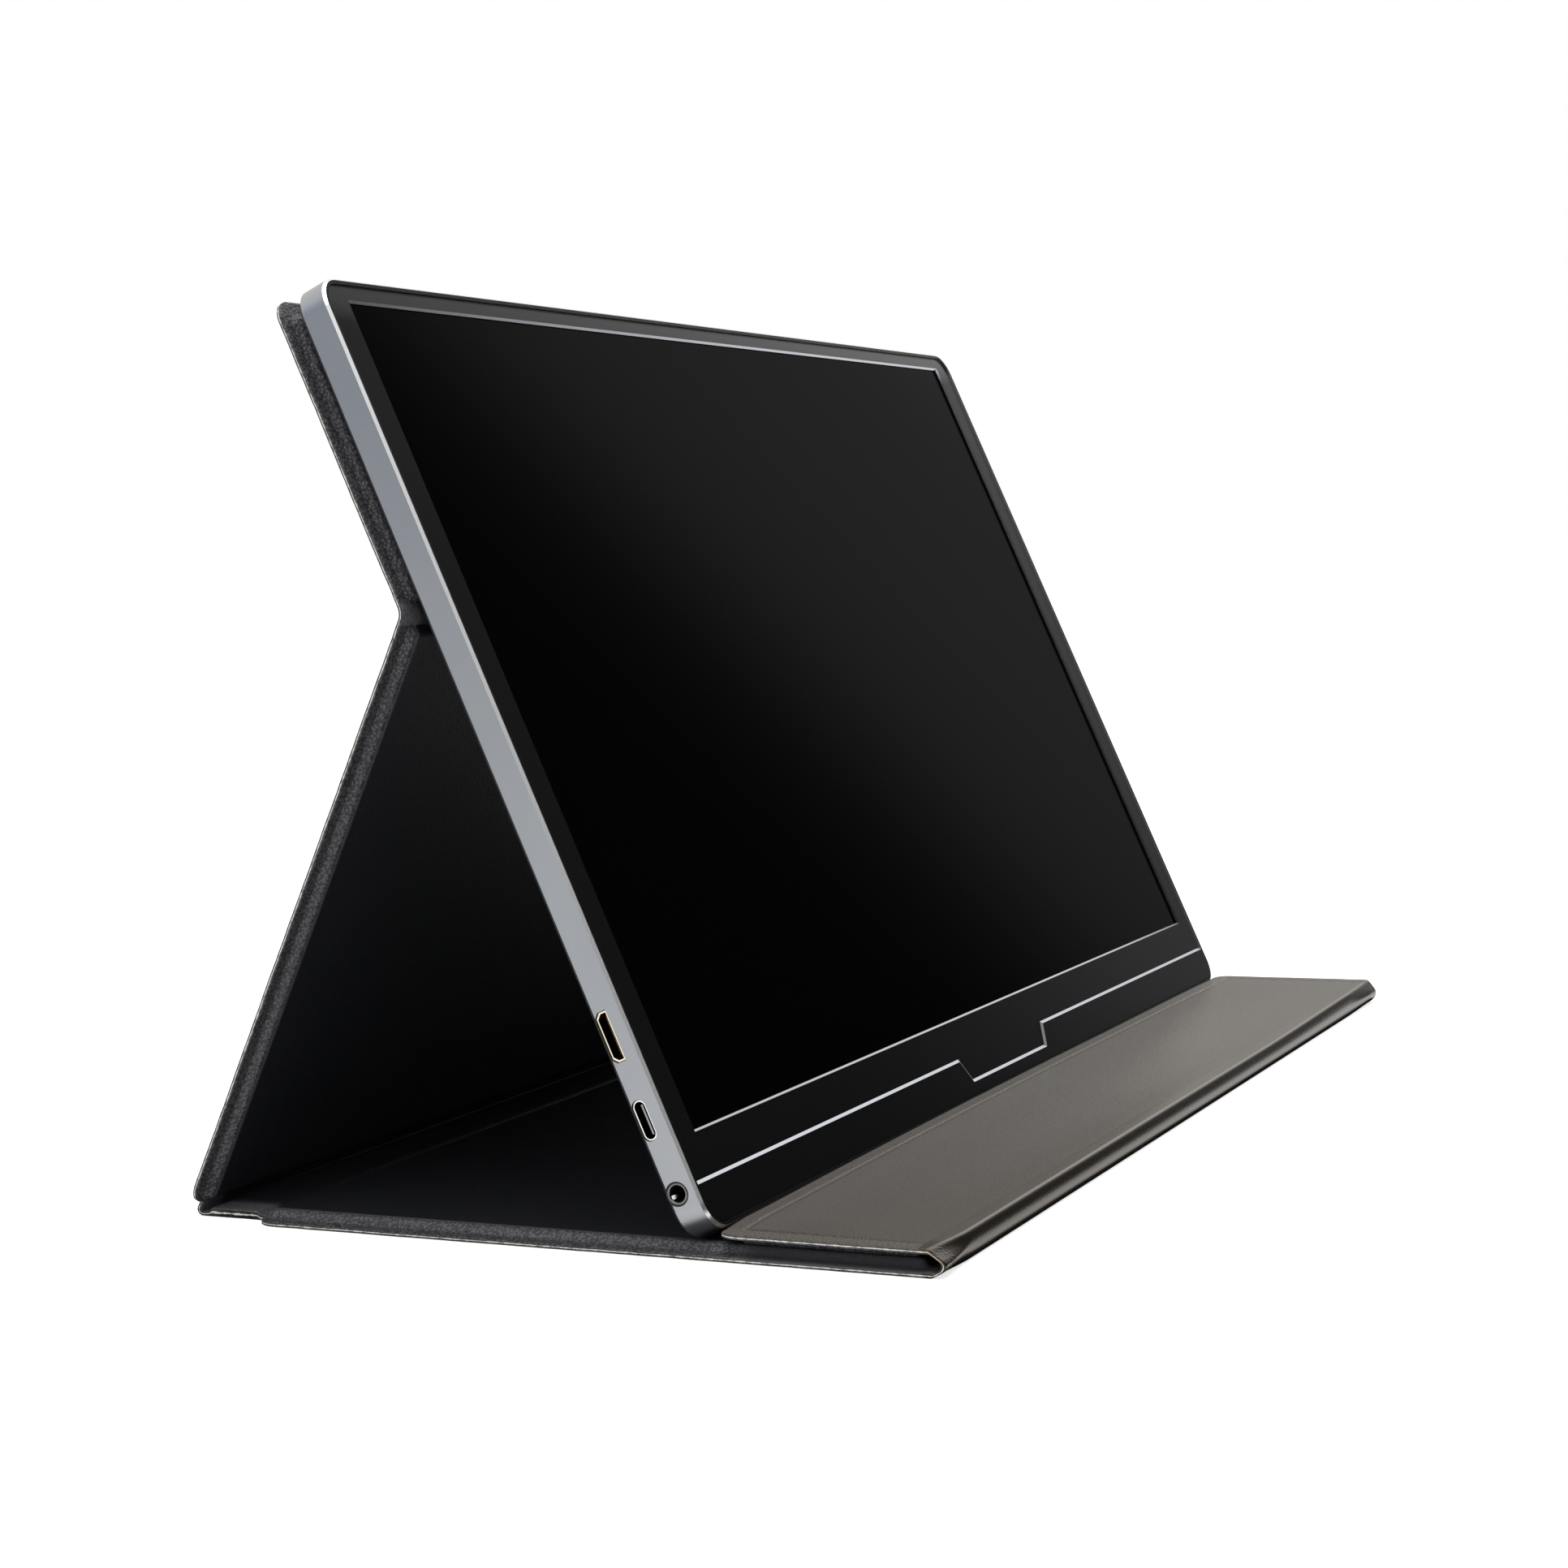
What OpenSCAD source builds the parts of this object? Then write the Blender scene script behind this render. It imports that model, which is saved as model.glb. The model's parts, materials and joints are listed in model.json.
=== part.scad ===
// Portable monitor standing in its own folding cover.
// The display leans back with its foot on the base panel. The stop panel is folded back
// over the base in front of it, and the leg panel props it up from behind.
// Display, leg and cover panels are drawn lying flat, screen up, with the cover's outer
// face at z = 0 and y running up the panel, and are then stood in place.

/* [Screen] */
// Width of the opening in the bezel
view_w = 345.2; // [300:0.2:380]
// Height of the opening in the bezel
view_h = 195.4; // [180:0.2:215]
// Width of the case beside the opening
side_bezel = 10.4; // [10.2:0.1:16]
// Height of the case above the opening
top_bezel = 5.5; // [5:0.1:10]
// Height of the case below the opening
chin_h = 21.6; // [21.2:0.1:30]

/* [Case] */
// Thickness of the case at its edge
edge_t = 7.8; // [7.6:0.1:10]
// Height of the raised field on the back of the case
back_rise = 1.5; // [1.2:0.1:2.5]
// Width of the rim around the raised field
rim_w = 4; // [3:0.5:6]
// Radius of the four corners of the case
corner_r = 7; // [5:0.5:10]
// Thickness of the side walls
side_wall = 1.4; // [1.2:0.1:1.8]
// Thickness of the back wall
back_wall = 0.9; // [0.7:0.1:1]
// Polished chamfer along the front edge
front_chamfer = 0.6; // [0.4:0.1:1]
// Chamfer along the back edge
back_chamfer = 1; // [0.4:0.1:1.2]

/* [Front frame] */
// Depth of the bezel's face below the front rim
bezel_recess = 0.5; // [0.3:0.05:0.6]
// Thickness of the bezel
bezel_t = 0.7; // [0.6:0.05:0.8]
// Width of the bevel round the opening
bezel_bevel = 0.5; // [0.3:0.05:0.55]
// Height of the step across the chin, above the foot
chin_line_h = 11.5; // [10:0.5:16]
// Height of the step where it dips in the middle
chin_dip_h = 5.3; // [4:0.1:8]
// Width of the dip at its bottom
chin_dip_w = 54.4; // [40:0.4:80]
// Width that each slanted end of the dip adds
chin_slant = 3.7; // [2:0.1:8]
// Width of the bevel along the step
chin_bevel = 0.75; // [0.4:0.05:1]

/* [Stand] */
// Lean of the display from upright, in degrees
tilt = 23.3; // [15:0.1:30]
// Height of the back fold above the foot, along the display
fold_u = 147.4; // [130:0.2:160]
// Distance that the rear fold line lies below the foot when the cover is closed
leg_drop = 3.3; // [2.5:0.1:8]

/* [Cover] */
// Thickness of a stiffened cover panel
panel_t = 3; // [2.4:0.1:4]
// Thickness of the outer leather and of the lining
skin_t = 0.6; // [0.4:0.05:0.8]
// Width by which the cover sticks out past the case on each side
overhang = 1.2; // [0.8:0.1:3]
// Pressed margin without board along the open edges
margin_w = 4.6; // [3:0.2:8]
// Margin without board along the fold edges
fold_margin = 2; // [1.5:0.1:4]
// Radius of the panel corners
panel_r = 5; // [3:0.5:8]
// Length of the stop panel, front to back
stop_len = 46; // [36:0.5:60]
// Distance from the base panel's rear edge to the rear fold line
spine_w = 18.8; // [17:0.1:24]
// Width of the stiffener in the spine
spine_board_w = 12; // [8:0.5:12.5]
// Thickness of the stiffener in the spine
spine_board_t = 0.9; // [0.5:0.1:1]
// Width by which the soft folds are set in from the panel sides
fold_inset = 3; // [2:0.5:8]

/* [Sockets] */
// Height of the headphone jack above the foot
jack_u = 10.6; // [9.6:0.1:10.8]
// Radius of the headphone jack's bore
jack_bore_r = 1.8; // [1.75:0.01:1.85]
// Depth of the headphone jack's bore
jack_bore_len = 12; // [11:0.5:13]
// Height of the oval sockets, one on each side, above the foot
oval_u = 27.4; // [24:0.1:30]
// Height of the video socket above the foot
video_u = 46.4; // [44:0.1:50]

/* [Keys] */
// Height of the menu rocker above the foot
rocker_u = 48; // [44:0.5:52]
// Length of the menu rocker
rocker_len = 12; // [8:0.5:13]
// Height of the power button above the foot
power_u = 68; // [64:0.5:74]
// Length of the power button
power_len = 9; // [6:0.5:10]
// Height of both key caps across their short side
key_h = 2.6; // [1.6:0.1:2.8]
// Length by which the keys stick out of the side
key_proud = 0.4; // [0.2:0.1:0.6]
// Travel of the power button
power_travel = 0.5; // [0.3:0.05:0.6]

/* [Hidden] */
$fn = 64;

// Running gaps
seat_gap = 0.1;      // between the display's foot, the stop panel and what they lie on
fit_gap = 0.15;      // around pieces dropped into the case
slide_gap = 0.3;     // around the keys in their slots
cover_gap = 0.2;     // between the back of the case and the cover
bead_gap = 0.3;      // between a fold's bead and the sheet that turns round it

// Case, lying flat: z levels from the cover's outer face up to the front rim
monitor_w = view_w + 2 * side_bezel;
monitor_h = chin_h + view_h + top_bezel;
back_z = panel_t + cover_gap;
rim_z = back_z + back_rise;
front_z = rim_z + edge_t;
floor_z = back_z + back_wall;
rim_floor_z = rim_z + back_wall;
inner_x = monitor_w / 2 - side_wall;
well_x = monitor_w / 2 - rim_w - side_wall;
well_u = rim_w + side_wall;
well_r = 1.2;
bezel_z = front_z - bezel_recess;
bezel_back_z = bezel_z - bezel_t;
chin_t = bezel_recess - 0.05;

// Display module behind the bezel
tape_t = 0.15;
glass_t = 0.9;
film_t = 0.4;
guide_t = 0.6;
reflector_t = 0.15;
tray_t = 0.3;
glass_side_lap = 2.6;
glass_top_lap = 1.8;
glass_foot_lap = 7.4;
tape_lap = 0.8;
module_w = view_w + 2 * glass_side_lap;
module_u0 = chin_h - glass_foot_lap;
module_u1 = chin_h + view_h + glass_top_lap;
glass_z = bezel_back_z - tape_t - glass_t;
film_z = glass_z - film_t;
guide_z = film_z - guide_t;
reflector_z = guide_z - reflector_t;
tray_z = reflector_z - tray_t;
led_w = 2;
led_u = module_u0 + tray_t + 0.3;
guide_u0 = led_u + led_w + 0.2;
guide_u1 = module_u1 - tray_t - 0.3;
guide_w = module_w - 2 * tray_t - 0.6;
tcon_z = glass_z + 0.3;
flex_t = 0.15;

// Boards
board_t = 0.8;
chip_w = 14;
pad_w = 18;
post_h = 0.7;
board_z = floor_z + post_h;
board_top_z = board_z + board_t;
board_edge = 0.4;
driver_x0 = -well_x + board_edge;
driver_len = 85;
driver_u0 = well_u + board_edge;
driver_u1 = video_u + 11.6;
control_len = 17;
chip_x = driver_x0 + driver_len / 2 + 0.5;
chip_u = driver_u0 + (driver_u1 - driver_u0) * 0.6;
control_x1 = well_x - board_edge;
control_u0 = oval_u - 9;
control_u1 = power_u + 16;
post_r = 1.8;
board_hole_r = 1.1;
board_screw_r = 0.65;
hole_in = 4.2;
driver_holes = [
    for (x = [driver_x0 + jack_bore_len + 5, driver_x0 + driver_len - 8],
         u = [driver_u0 + hole_in, driver_u1 - hole_in]) [x, u]
];
control_holes = [for (u = [control_u0 + hole_in, control_u1 - hole_in]) [control_x1 - 12, u]];

// Speakers
speaker_w = 38;
speaker_h = 14;
speaker_t = 3.6;
speaker_u0 = well_u + 1.1;
speaker_xs = [driver_x0 + driver_len + 6.2 + speaker_w / 2,
              control_x1 - control_len - 10.2 - speaker_w / 2];
lead_r = 0.45;

// Screws that hold the bezel to the shell
boss_r = 2;
boss_edge = 3.2;
foot_boss_u = side_wall + 2.5;
pad_h = 0.8;
screw_r = 0.75;
screw_head_r = 1.9;
screw_head_h = 0.75;
low_screw_u = [driver_u1 + 8, control_u1 + 8];
top_screw_u = monitor_h - 17.5;
foot_screw_xs = [speaker_xs[0] + speaker_w / 2 + 8, (speaker_xs[0] + speaker_xs[1]) / 2,
                 speaker_xs[1] + speaker_w / 2 + 5];
screw_sites = [
    for (i = [0, 1], share = [0, 0.5, 1])
        [(2 * i - 1) * (inner_x - boss_edge),
         low_screw_u[i] + share * (top_screw_u - low_screw_u[i])],
    for (x = foot_screw_xs) [x, foot_boss_u]
];

// Panel electronics below the glass
cable_x = driver_x0 + driver_len - 16;
cable_w = 13;
tcon_x0 = cable_x - 1.8;
tcon_x1 = view_w / 2 - 32.6;
flex_w = 26;
flex_inset = 25;
flex_count = 4;
tcon_u0 = foot_boss_u + boss_r + 0.7;
tcon_u1 = module_u0 - 0.8;

// Plates and magnets that hold the upper cover panel
plate_t = 0.4;
plate_w = 110;
plate_h = 30;
plate_x = 95;
magnet_w = 22;
magnet_l = 10;
magnet_t = 1.4;
magnet_gap = 0.1;

// Side sockets
oval_w = 8.94;
oval_h = 3.16;
oval_wall = 0.3;
tongue_w = 6.7;
tongue_t = 0.7;
video_w = 11.2;
video_h = 3;
video_cut = 1.1;
video_wall = 0.35;
socket_set_in = 0.4;
socket_len = side_bezel - glass_side_lap - socket_set_in - 0.1;
socket_back = 0.8;
jack_nose_r = 2.1;
port_z = board_top_z + oval_h / 2 + 0.02;
jack_z = board_top_z + jack_nose_r;
jack_body_w = 6;
jack_ring_r = 2.7;
jack_ring_t = 0.4;

// Keys
key_flange = 1;
key_flange_t = 0.7;
key_x = inner_x - slide_gap;
switch_d = 3.4;
switch_h = 3;
plunger_r = 0.6;
rocker_pin_r = 0.5;
rocker_swing = 3;
rocker_pivot_x = inner_x - 1.2;
rocker_core_h = 1.6;
rocker_half_d = 0.6;
ear_t = 0.5;
ear_gap = 0.15;
rocker_tip_x = rocker_pivot_x - rocker_half_d - rocker_len * 0.36 * sin(rocker_swing) - 0.1;

// Cover
cover_w = monitor_w + 2 * overhang;
board_h = panel_t - 2 * skin_t;
bead_r = skin_t;
fold_w = cover_w - 2 * fold_inset;
panel_fold_gap = 1.6;
leg_len = fold_u + leg_drop;
leg_start = leg_drop + 0.1;
leg_end = leg_len - panel_fold_gap;
upper_u0 = fold_u + panel_fold_gap;
upper_u1 = monitor_h - 0.3;
hold_u = (upper_u0 + upper_u1) / 2;

// Stand geometry in the upright frame
foot_drop = (edge_t - back_chamfer) * sin(tilt);
foot_z = panel_t + seat_gap + foot_drop;
axis_depth = front_z - bead_r;
back_fold_y = fold_u * sin(tilt) + axis_depth * cos(tilt);
back_fold_z = foot_z + fold_u * cos(tilt) - axis_depth * sin(tilt);
leg_lean = acos((back_fold_z - bead_r) / leg_len);
rear_fold_y = back_fold_y + leg_len * sin(leg_lean);
stop_rear_y = -2 * seat_gap;
stop_front_y = stop_rear_y - stop_len;
stop_z = panel_t + seat_gap;
base_rear_y = rear_fold_y - spine_w;
base_front_y = stop_front_y - 1.2;
spine_y0 = base_rear_y + 2.6;
roll_r = (stop_z + panel_t) / 2;
roll_y = base_front_y - 1.8;
roll_front_y = roll_y - roll_r;
centre_y = (roll_front_y + rear_fold_y + bead_r) / 2;

// ---------- placing the flat pieces ----------

module stand_display() {
    translate([0, -centre_y, foot_z]) rotate([90 - tilt, 0, 0]) translate([0, 0, -front_z]) children();
}

module stand_leg() {
    translate([0, rear_fold_y - centre_y, bead_r]) rotate([90 + leg_lean, 0, 0])
        translate([0, 0, -bead_r]) children();
}

module lay_base() {
    translate([0, -centre_y, 0]) children();
}

// The stop panel lies face down on the base, so its outer leather is on top
module lay_stop() {
    translate([0, stop_rear_y - centre_y, stop_z + panel_t]) rotate([180, 0, 0]) children();
}

// ---------- shared shapes ----------

module rounded_rect(w, h, r) {
    translate([-w / 2 + r, 0]) square([w - 2 * r, h]);
    translate([-w / 2, r]) square([w, h - 2 * r]);
    for (x = [-w / 2 + r, w / 2 - r], y = [r, h - r])
        translate([x, y]) circle(r);
}

// Rounded slab between two heights along y and two levels in z
module slab(w, y0, y1, z0, z1, r) {
    translate([0, y0, z0]) linear_extrude(z1 - z0) rounded_rect(w, y1 - y0, r);
}

module block(x0, x1, y0, y1, z0, z1) {
    translate([x0, y0, z0]) cube([x1 - x0, y1 - y0, z1 - z0]);
}

// Chamfered edge layer: a rounded slab that grows by its own height c
module chamfer_layer(w, h, r, c) {
    translate([-w / 2 + r, 0, 0]) rotate([90, 0, 90])
        linear_extrude(w - 2 * r) polygon([[c, 0], [h - c, 0], [h, c], [0, c]]);
    translate([0, h - r, 0]) rotate([90, 0, 0])
        linear_extrude(h - 2 * r)
            polygon([[-w / 2 + c, 0], [w / 2 - c, 0], [w / 2, c], [-w / 2, c]]);
    for (x = [-w / 2 + r, w / 2 - r], y = [r, h - r])
        translate([x, y, 0]) cylinder(h = c, r1 = r - c, r2 = r);
}

// Oval bar along x, as wide as w in y and as high as h in z
module oval_bar(x0, x1, u, z, w, h) {
    translate([x0, u, z]) rotate([90, 0, 90]) linear_extrude(x1 - x0) {
        square([w - h, h], center = true);
        for (s = [-1, 1]) translate([s * (w - h) / 2, 0]) circle(h / 2);
    }
}

// Video socket outline: a flat box whose two back corners are cut off
module video_bar(x0, x1, w, h, cut) {
    translate([x0, video_u, port_z]) rotate([90, 0, 90]) linear_extrude(x1 - x0)
        polygon([[-w / 2, h / 2], [-w / 2, -h / 2 + cut], [-w / 2 + cut, -h / 2],
                 [w / 2 - cut, -h / 2], [w / 2, -h / 2 + cut], [w / 2, h / 2]]);
}

// ---------- case ----------

module rear_shell() {
    color("#aaadb0") stand_display() difference() {
        union() {
            slab(monitor_w, 0, monitor_h, rim_z + back_chamfer, front_z - front_chamfer, corner_r);
            translate([0, 0, rim_z]) chamfer_layer(monitor_w, monitor_h, corner_r, back_chamfer);
            translate([0, monitor_h, front_z]) rotate([180, 0, 0])
                chamfer_layer(monitor_w, monitor_h, corner_r, front_chamfer);
            slab(monitor_w - 2 * rim_w, rim_w, monitor_h - rim_w, back_z, rim_z + 0.5, corner_r - 1);
        }
        difference() {
            union() {
                slab(2 * inner_x, side_wall, monitor_h - side_wall, rim_floor_z, front_z + 1,
                    corner_r - side_wall);
                slab(2 * well_x, well_u, monitor_h - well_u, floor_z, rim_floor_z + 1, well_r);
            }
            for (p = screw_sites)
                translate([p[0], p[1], rim_z]) cylinder(h = back_wall + pad_h, r = boss_r + 0.2);
            for (p = concat(driver_holes, control_holes))
                translate([p[0], p[1], back_z]) cylinder(h = back_wall + post_h, r = post_r);
        }
        for (p = screw_sites) translate([p[0], p[1], back_z - 1]) {
            cylinder(h = 1 + back_rise + screw_head_h + 0.05, r = screw_head_r + 0.1);
            cylinder(h = 1 + back_rise + back_wall + pad_h + 1, r = screw_r + 0.3);
        }
        for (p = concat(driver_holes, control_holes))
            translate([p[0], p[1], back_z + 0.5]) cylinder(h = 3, r = board_screw_r + 0.05);
        side_openings();
        speaker_slots();
    }
}

// Sockets on the left side, socket and keys on the right
module side_openings() {
    cut = side_wall + 2;
    left = -monitor_w / 2 - 1;
    right = inner_x - 1;
    translate([left, jack_u, jack_z]) rotate([0, 90, 0]) {
        cylinder(h = cut, r = jack_nose_r + 0.1);
        cylinder(h = 1 + jack_ring_t, r = jack_ring_r);
    }
    oval_bar(left, left + cut, oval_u, port_z, oval_w + 0.3, oval_h + 0.2);
    video_bar(left, left + cut, video_w + 0.3, video_h + 0.2, video_cut);
    oval_bar(right, right + cut, oval_u, port_z, oval_w + 0.3, oval_h + 0.2);
    oval_bar(right, right + cut, power_u, port_z, power_len + 2 * slide_gap, key_h + 2 * slide_gap);
    oval_bar(right, right + cut, rocker_u, port_z, rocker_len + 2 * slide_gap, key_h + 2 * slide_gap);
}

module speaker_slots() {
    slots = 6;
    for (x = speaker_xs, i = [0 : slots - 1])
        translate([x + (i - (slots - 1) / 2) * 4, speaker_u0 + speaker_h / 2, back_z - 1])
            linear_extrude(back_wall + 2) {
                square([1.2, 7], center = true);
                for (s = [-1, 1]) translate([0, s * 3.5]) circle(0.6);
            }
}

module bezel_outline() {
    translate([0, side_wall + fit_gap])
        rounded_rect(2 * (inner_x - fit_gap), monitor_h - 2 * (side_wall + fit_gap),
            corner_r - side_wall);
}

// Room between a and b that starts straight and widens by a bevel up to the bezel's face
function widening(a, b) = [
    [a, bezel_back_z - 1], [b, bezel_back_z - 1], [b, bezel_z - bezel_bevel],
    [b + 2 * bezel_bevel, bezel_z + bezel_bevel], [a - 2 * bezel_bevel, bezel_z + bezel_bevel],
    [a, bezel_z - bezel_bevel]
];

module opening_room() {
    intersection() {
        translate([0, monitor_h, 0]) rotate([90, 0, 0])
            linear_extrude(monitor_h) polygon(widening(-view_w / 2, view_w / 2));
        translate([-monitor_w / 2, 0, 0]) rotate([90, 0, 90])
            linear_extrude(monitor_w) polygon(widening(chin_h, chin_h + view_h));
    }
}

module front_bezel() {
    color("#1b1b1c") stand_display() {
        difference() {
            translate([0, 0, bezel_back_z]) linear_extrude(bezel_t) bezel_outline();
            opening_room();
        }
        for (p = screw_sites) translate([p[0], p[1], rim_floor_z + pad_h + 0.05])
            difference() {
                cylinder(h = bezel_back_z - rim_floor_z - pad_h - 0.05, r = boss_r);
                translate([0, 0, -1]) cylinder(h = 5, r = screw_r + 0.05);
            }
    }
}

// Room above the chin plate: its sloped wall along x cuts the plate's bevel
module bevel_room() {
    rise = chin_t / chin_bevel;
    far = monitor_w;
    translate([-far, 0, 0]) rotate([90, 0, 90]) linear_extrude(2 * far)
        polygon([[1, -rise], [-2, 2 * rise], [far, 2 * rise], [far, -rise]]);
}

// Room on the inner side of the dip's right-hand slant
module slant_room() {
    translate([chin_dip_w / 2, chin_dip_h, 0])
        rotate(atan((chin_line_h - chin_dip_h) / chin_slant)) bevel_room();
}

// The lower chin is a thin raised plate whose bevelled top edge dips in the middle
module chin_plate() {
    color("#101011") stand_display() translate([0, 0, bezel_z]) difference() {
        linear_extrude(chin_t) bezel_outline();
        translate([0, chin_line_h, 0]) bevel_room();
        intersection() {
            translate([0, chin_dip_h, 0]) bevel_room();
            slant_room();
            mirror([1, 0, 0]) slant_room();
        }
    }
}

module case_screws() {
    color("#8f9296") stand_display() for (p = screw_sites) translate([p[0], p[1], rim_z]) {
        difference() {
            cylinder(h = screw_head_h, r = screw_head_r);
            translate([0, 0, -1]) for (a = [0, 90]) rotate(a)
                translate([-0.9, -0.18, 0]) cube([1.8, 0.36, 1.4]);
        }
        cylinder(h = 5.4, r = screw_r);
    }
}

module steel_plates() {
    color("#9a9da1") stand_display() for (s = [-1, 1])
        translate([s * plate_x - plate_w / 2, hold_u - plate_h / 2, floor_z])
            cube([plate_w, plate_h, plate_t]);
}

// ---------- display module ----------

module panel_tape() {
    color("#262626") stand_display() difference() {
        block(-module_w / 2, module_w / 2, module_u0, module_u1, glass_z + glass_t, bezel_back_z);
        block(-view_w / 2 - tape_lap, view_w / 2 + tape_lap, chin_h - tape_lap,
            chin_h + view_h + tape_lap, glass_z, front_z);
    }
}

module lcd_glass() {
    color("#0b0b0c") stand_display()
        block(-module_w / 2, module_w / 2, module_u0, module_u1, glass_z, glass_z + glass_t);
}

module optical_films() {
    color("#e9ecef") stand_display()
        block(-guide_w / 2, guide_w / 2, guide_u0, guide_u1, film_z, glass_z);
}

module light_guide() {
    color("#dfe8ec") stand_display()
        block(-guide_w / 2, guide_w / 2, guide_u0, guide_u1, guide_z, film_z);
}

module reflector_sheet() {
    color("#f4f4f2") stand_display()
        block(-guide_w / 2, guide_w / 2, led_u, guide_u1, reflector_z, guide_z);
}

// Strip of light sources along the foot of the light guide
module led_bar() {
    led_count = 40;
    pitch = guide_w / led_count;
    color("#e8d98a") stand_display() {
        block(-guide_w / 2, guide_w / 2, led_u, led_u + led_w / 2, guide_z, film_z);
        for (i = [0 : led_count - 1])
            block(-guide_w / 2 + (i + 0.2) * pitch, -guide_w / 2 + (i + 0.8) * pitch,
                led_u + led_w / 2, led_u + led_w, guide_z, guide_z + guide_t * 0.8);
    }
}

module panel_tray() {
    color("#b4b7ba") stand_display() difference() {
        block(-module_w / 2, module_w / 2, module_u0, module_u1, tray_z, glass_z);
        block(-module_w / 2 + tray_t, module_w / 2 - tray_t, module_u0 + tray_t,
            module_u1 - tray_t, reflector_z, glass_z + 1);
    }
}

module panel_board() {
    color("#1f5a38") stand_display() {
        block(tcon_x0, tcon_x1, tcon_u0, tcon_u1, tcon_z - board_t, tcon_z);
        for (share = [0.2, 0.45, 0.75]) {
            x = tcon_x0 + share * (tcon_x1 - tcon_x0);
            block(x, x + 9, tcon_u0 + 0.8, tcon_u1 - 0.8, tcon_z - board_t - 1,
                tcon_z - board_t);
        }
    }
}

module panel_flexes() {
    pitch = (tcon_x1 - tcon_x0 - 2 * flex_inset - flex_w) / (flex_count - 1);
    color("#b5762a") stand_display() for (i = [0 : flex_count - 1]) {
        x = tcon_x0 + flex_inset + i * pitch;
        block(x, x + flex_w, tcon_u1 - 2.4, module_u0, tcon_z, tcon_z + flex_t);
    }
}

// Flat cable from the panel's own board down to a connector on the driver board
module panel_cable() {
    u = driver_u0 + 9;
    plug_w = 8;
    color("#2b2b2e") stand_display() {
        block(cable_x, cable_x + cable_w, u, u + 3, board_top_z, board_top_z + 1);
        block(cable_x, cable_x + cable_w, u + 1.3, u + 1.6, board_top_z + 1, tray_z);
        block(cable_x, tcon_x0 + plug_w, tcon_u0 + 1, u + 1.6, tray_z - 0.3, tray_z);
        block(tcon_x0, tcon_x0 + plug_w, tcon_u0 + 1, tcon_u0 + 4, tray_z - 0.3, tcon_z - board_t);
    }
}

// ---------- boards ----------

module driver_board() {
    color("#1d4f34") stand_display() difference() {
        block(driver_x0, driver_x0 + driver_len, driver_u0, driver_u1, board_z, board_top_z);
        for (p = driver_holes)
            translate([p[0], p[1], board_z - 1]) cylinder(h = 3, r = board_hole_r);
    }
}

module scaler_chip() {
    color("#232427") stand_display()
        block(chip_x - chip_w / 2, chip_x + chip_w / 2, chip_u - chip_w / 2, chip_u + chip_w / 2,
            board_top_z, board_top_z + 1.2);
}

module board_parts() {
    row_u = chip_u - chip_w / 2 - 8;
    coil_x = chip_x + chip_w / 2 + 8;
    color("#3a3b40") stand_display() {
        for (i = [-2 : 2])
            block(chip_x + i * 7 - 2, chip_x + i * 7 + 2, row_u, row_u + 3,
                board_top_z, board_top_z + 1);
        for (i = [0 : 2])
            block(coil_x, coil_x + 6, chip_u - 7 + i * 8, chip_u - 1 + i * 8,
                board_top_z, board_top_z + 2);
        block(coil_x + 12, coil_x + 22, chip_u - 1, chip_u + 5, board_top_z, board_top_z + 1);
    }
}

module heat_pad() {
    color("#8fa3b8") stand_display()
        block(chip_x - pad_w / 2, chip_x + pad_w / 2, chip_u - pad_w / 2, chip_u + pad_w / 2,
            floor_z, board_z);
}

module board_screws() {
    color("#9b9ea2") stand_display() for (p = concat(driver_holes, control_holes)) {
        translate([p[0], p[1], back_z + 0.6]) cylinder(h = board_top_z - back_z, r = board_screw_r);
        translate([p[0], p[1], board_top_z]) cylinder(h = 0.8, r = 1.6);
    }
}

module headphone_jack() {
    mouth_x = -monitor_w / 2 + jack_ring_t;
    body_x0 = -inner_x + 0.2;
    color("#3c3c3f") stand_display() difference() {
        union() {
            translate([mouth_x, jack_u, jack_z]) rotate([0, 90, 0])
                cylinder(h = 3, r = jack_nose_r);
            block(body_x0, mouth_x + jack_bore_len + 1, jack_u - jack_body_w / 2,
                jack_u + jack_body_w / 2, board_top_z, jack_z + jack_nose_r);
        }
        translate([mouth_x - 1, jack_u, jack_z]) rotate([0, 90, 0])
            cylinder(h = jack_bore_len + 1, r = jack_bore_r);
    }
}

// Oval socket with its mouth towards +x and a contact tongue inside
module oval_socket() {
    mouth = monitor_w / 2 - socket_set_in;
    end = mouth - socket_len;
    difference() {
        oval_bar(end, mouth, oval_u, port_z, oval_w, oval_h);
        oval_bar(end + socket_back, mouth + 1, oval_u, port_z, oval_w - 2 * oval_wall,
            oval_h - 2 * oval_wall);
    }
    block(end + socket_back, mouth - 1.2, oval_u - tongue_w / 2, oval_u + tongue_w / 2,
        port_z - tongue_t / 2, port_z + tongue_t / 2);
}

module data_socket() {
    color("#b9bbbd") stand_display() mirror([1, 0, 0]) oval_socket();
}

module power_socket() {
    color("#b9bbbd") stand_display() oval_socket();
}

module video_socket() {
    mouth = -monitor_w / 2 + socket_set_in;
    end = mouth + socket_len;
    tongue = video_w / 2 - 1.3;
    color("#b8a77f") stand_display() {
        difference() {
            video_bar(mouth, end, video_w, video_h, video_cut);
            video_bar(mouth - 1, end - socket_back, video_w - 2 * video_wall,
                video_h - 2 * video_wall, video_cut - 0.1);
        }
        block(mouth + 1.4, end - socket_back, video_u - tongue, video_u + tongue,
            port_z, port_z + 0.6);
    }
}

module control_board() {
    color("#1d4f34") stand_display() difference() {
        block(control_x1 - control_len, control_x1, control_u0, control_u1, board_z, board_top_z);
        for (p = control_holes)
            translate([p[0], p[1], board_z - 1]) cylinder(h = 3, r = board_hole_r);
    }
}

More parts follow.
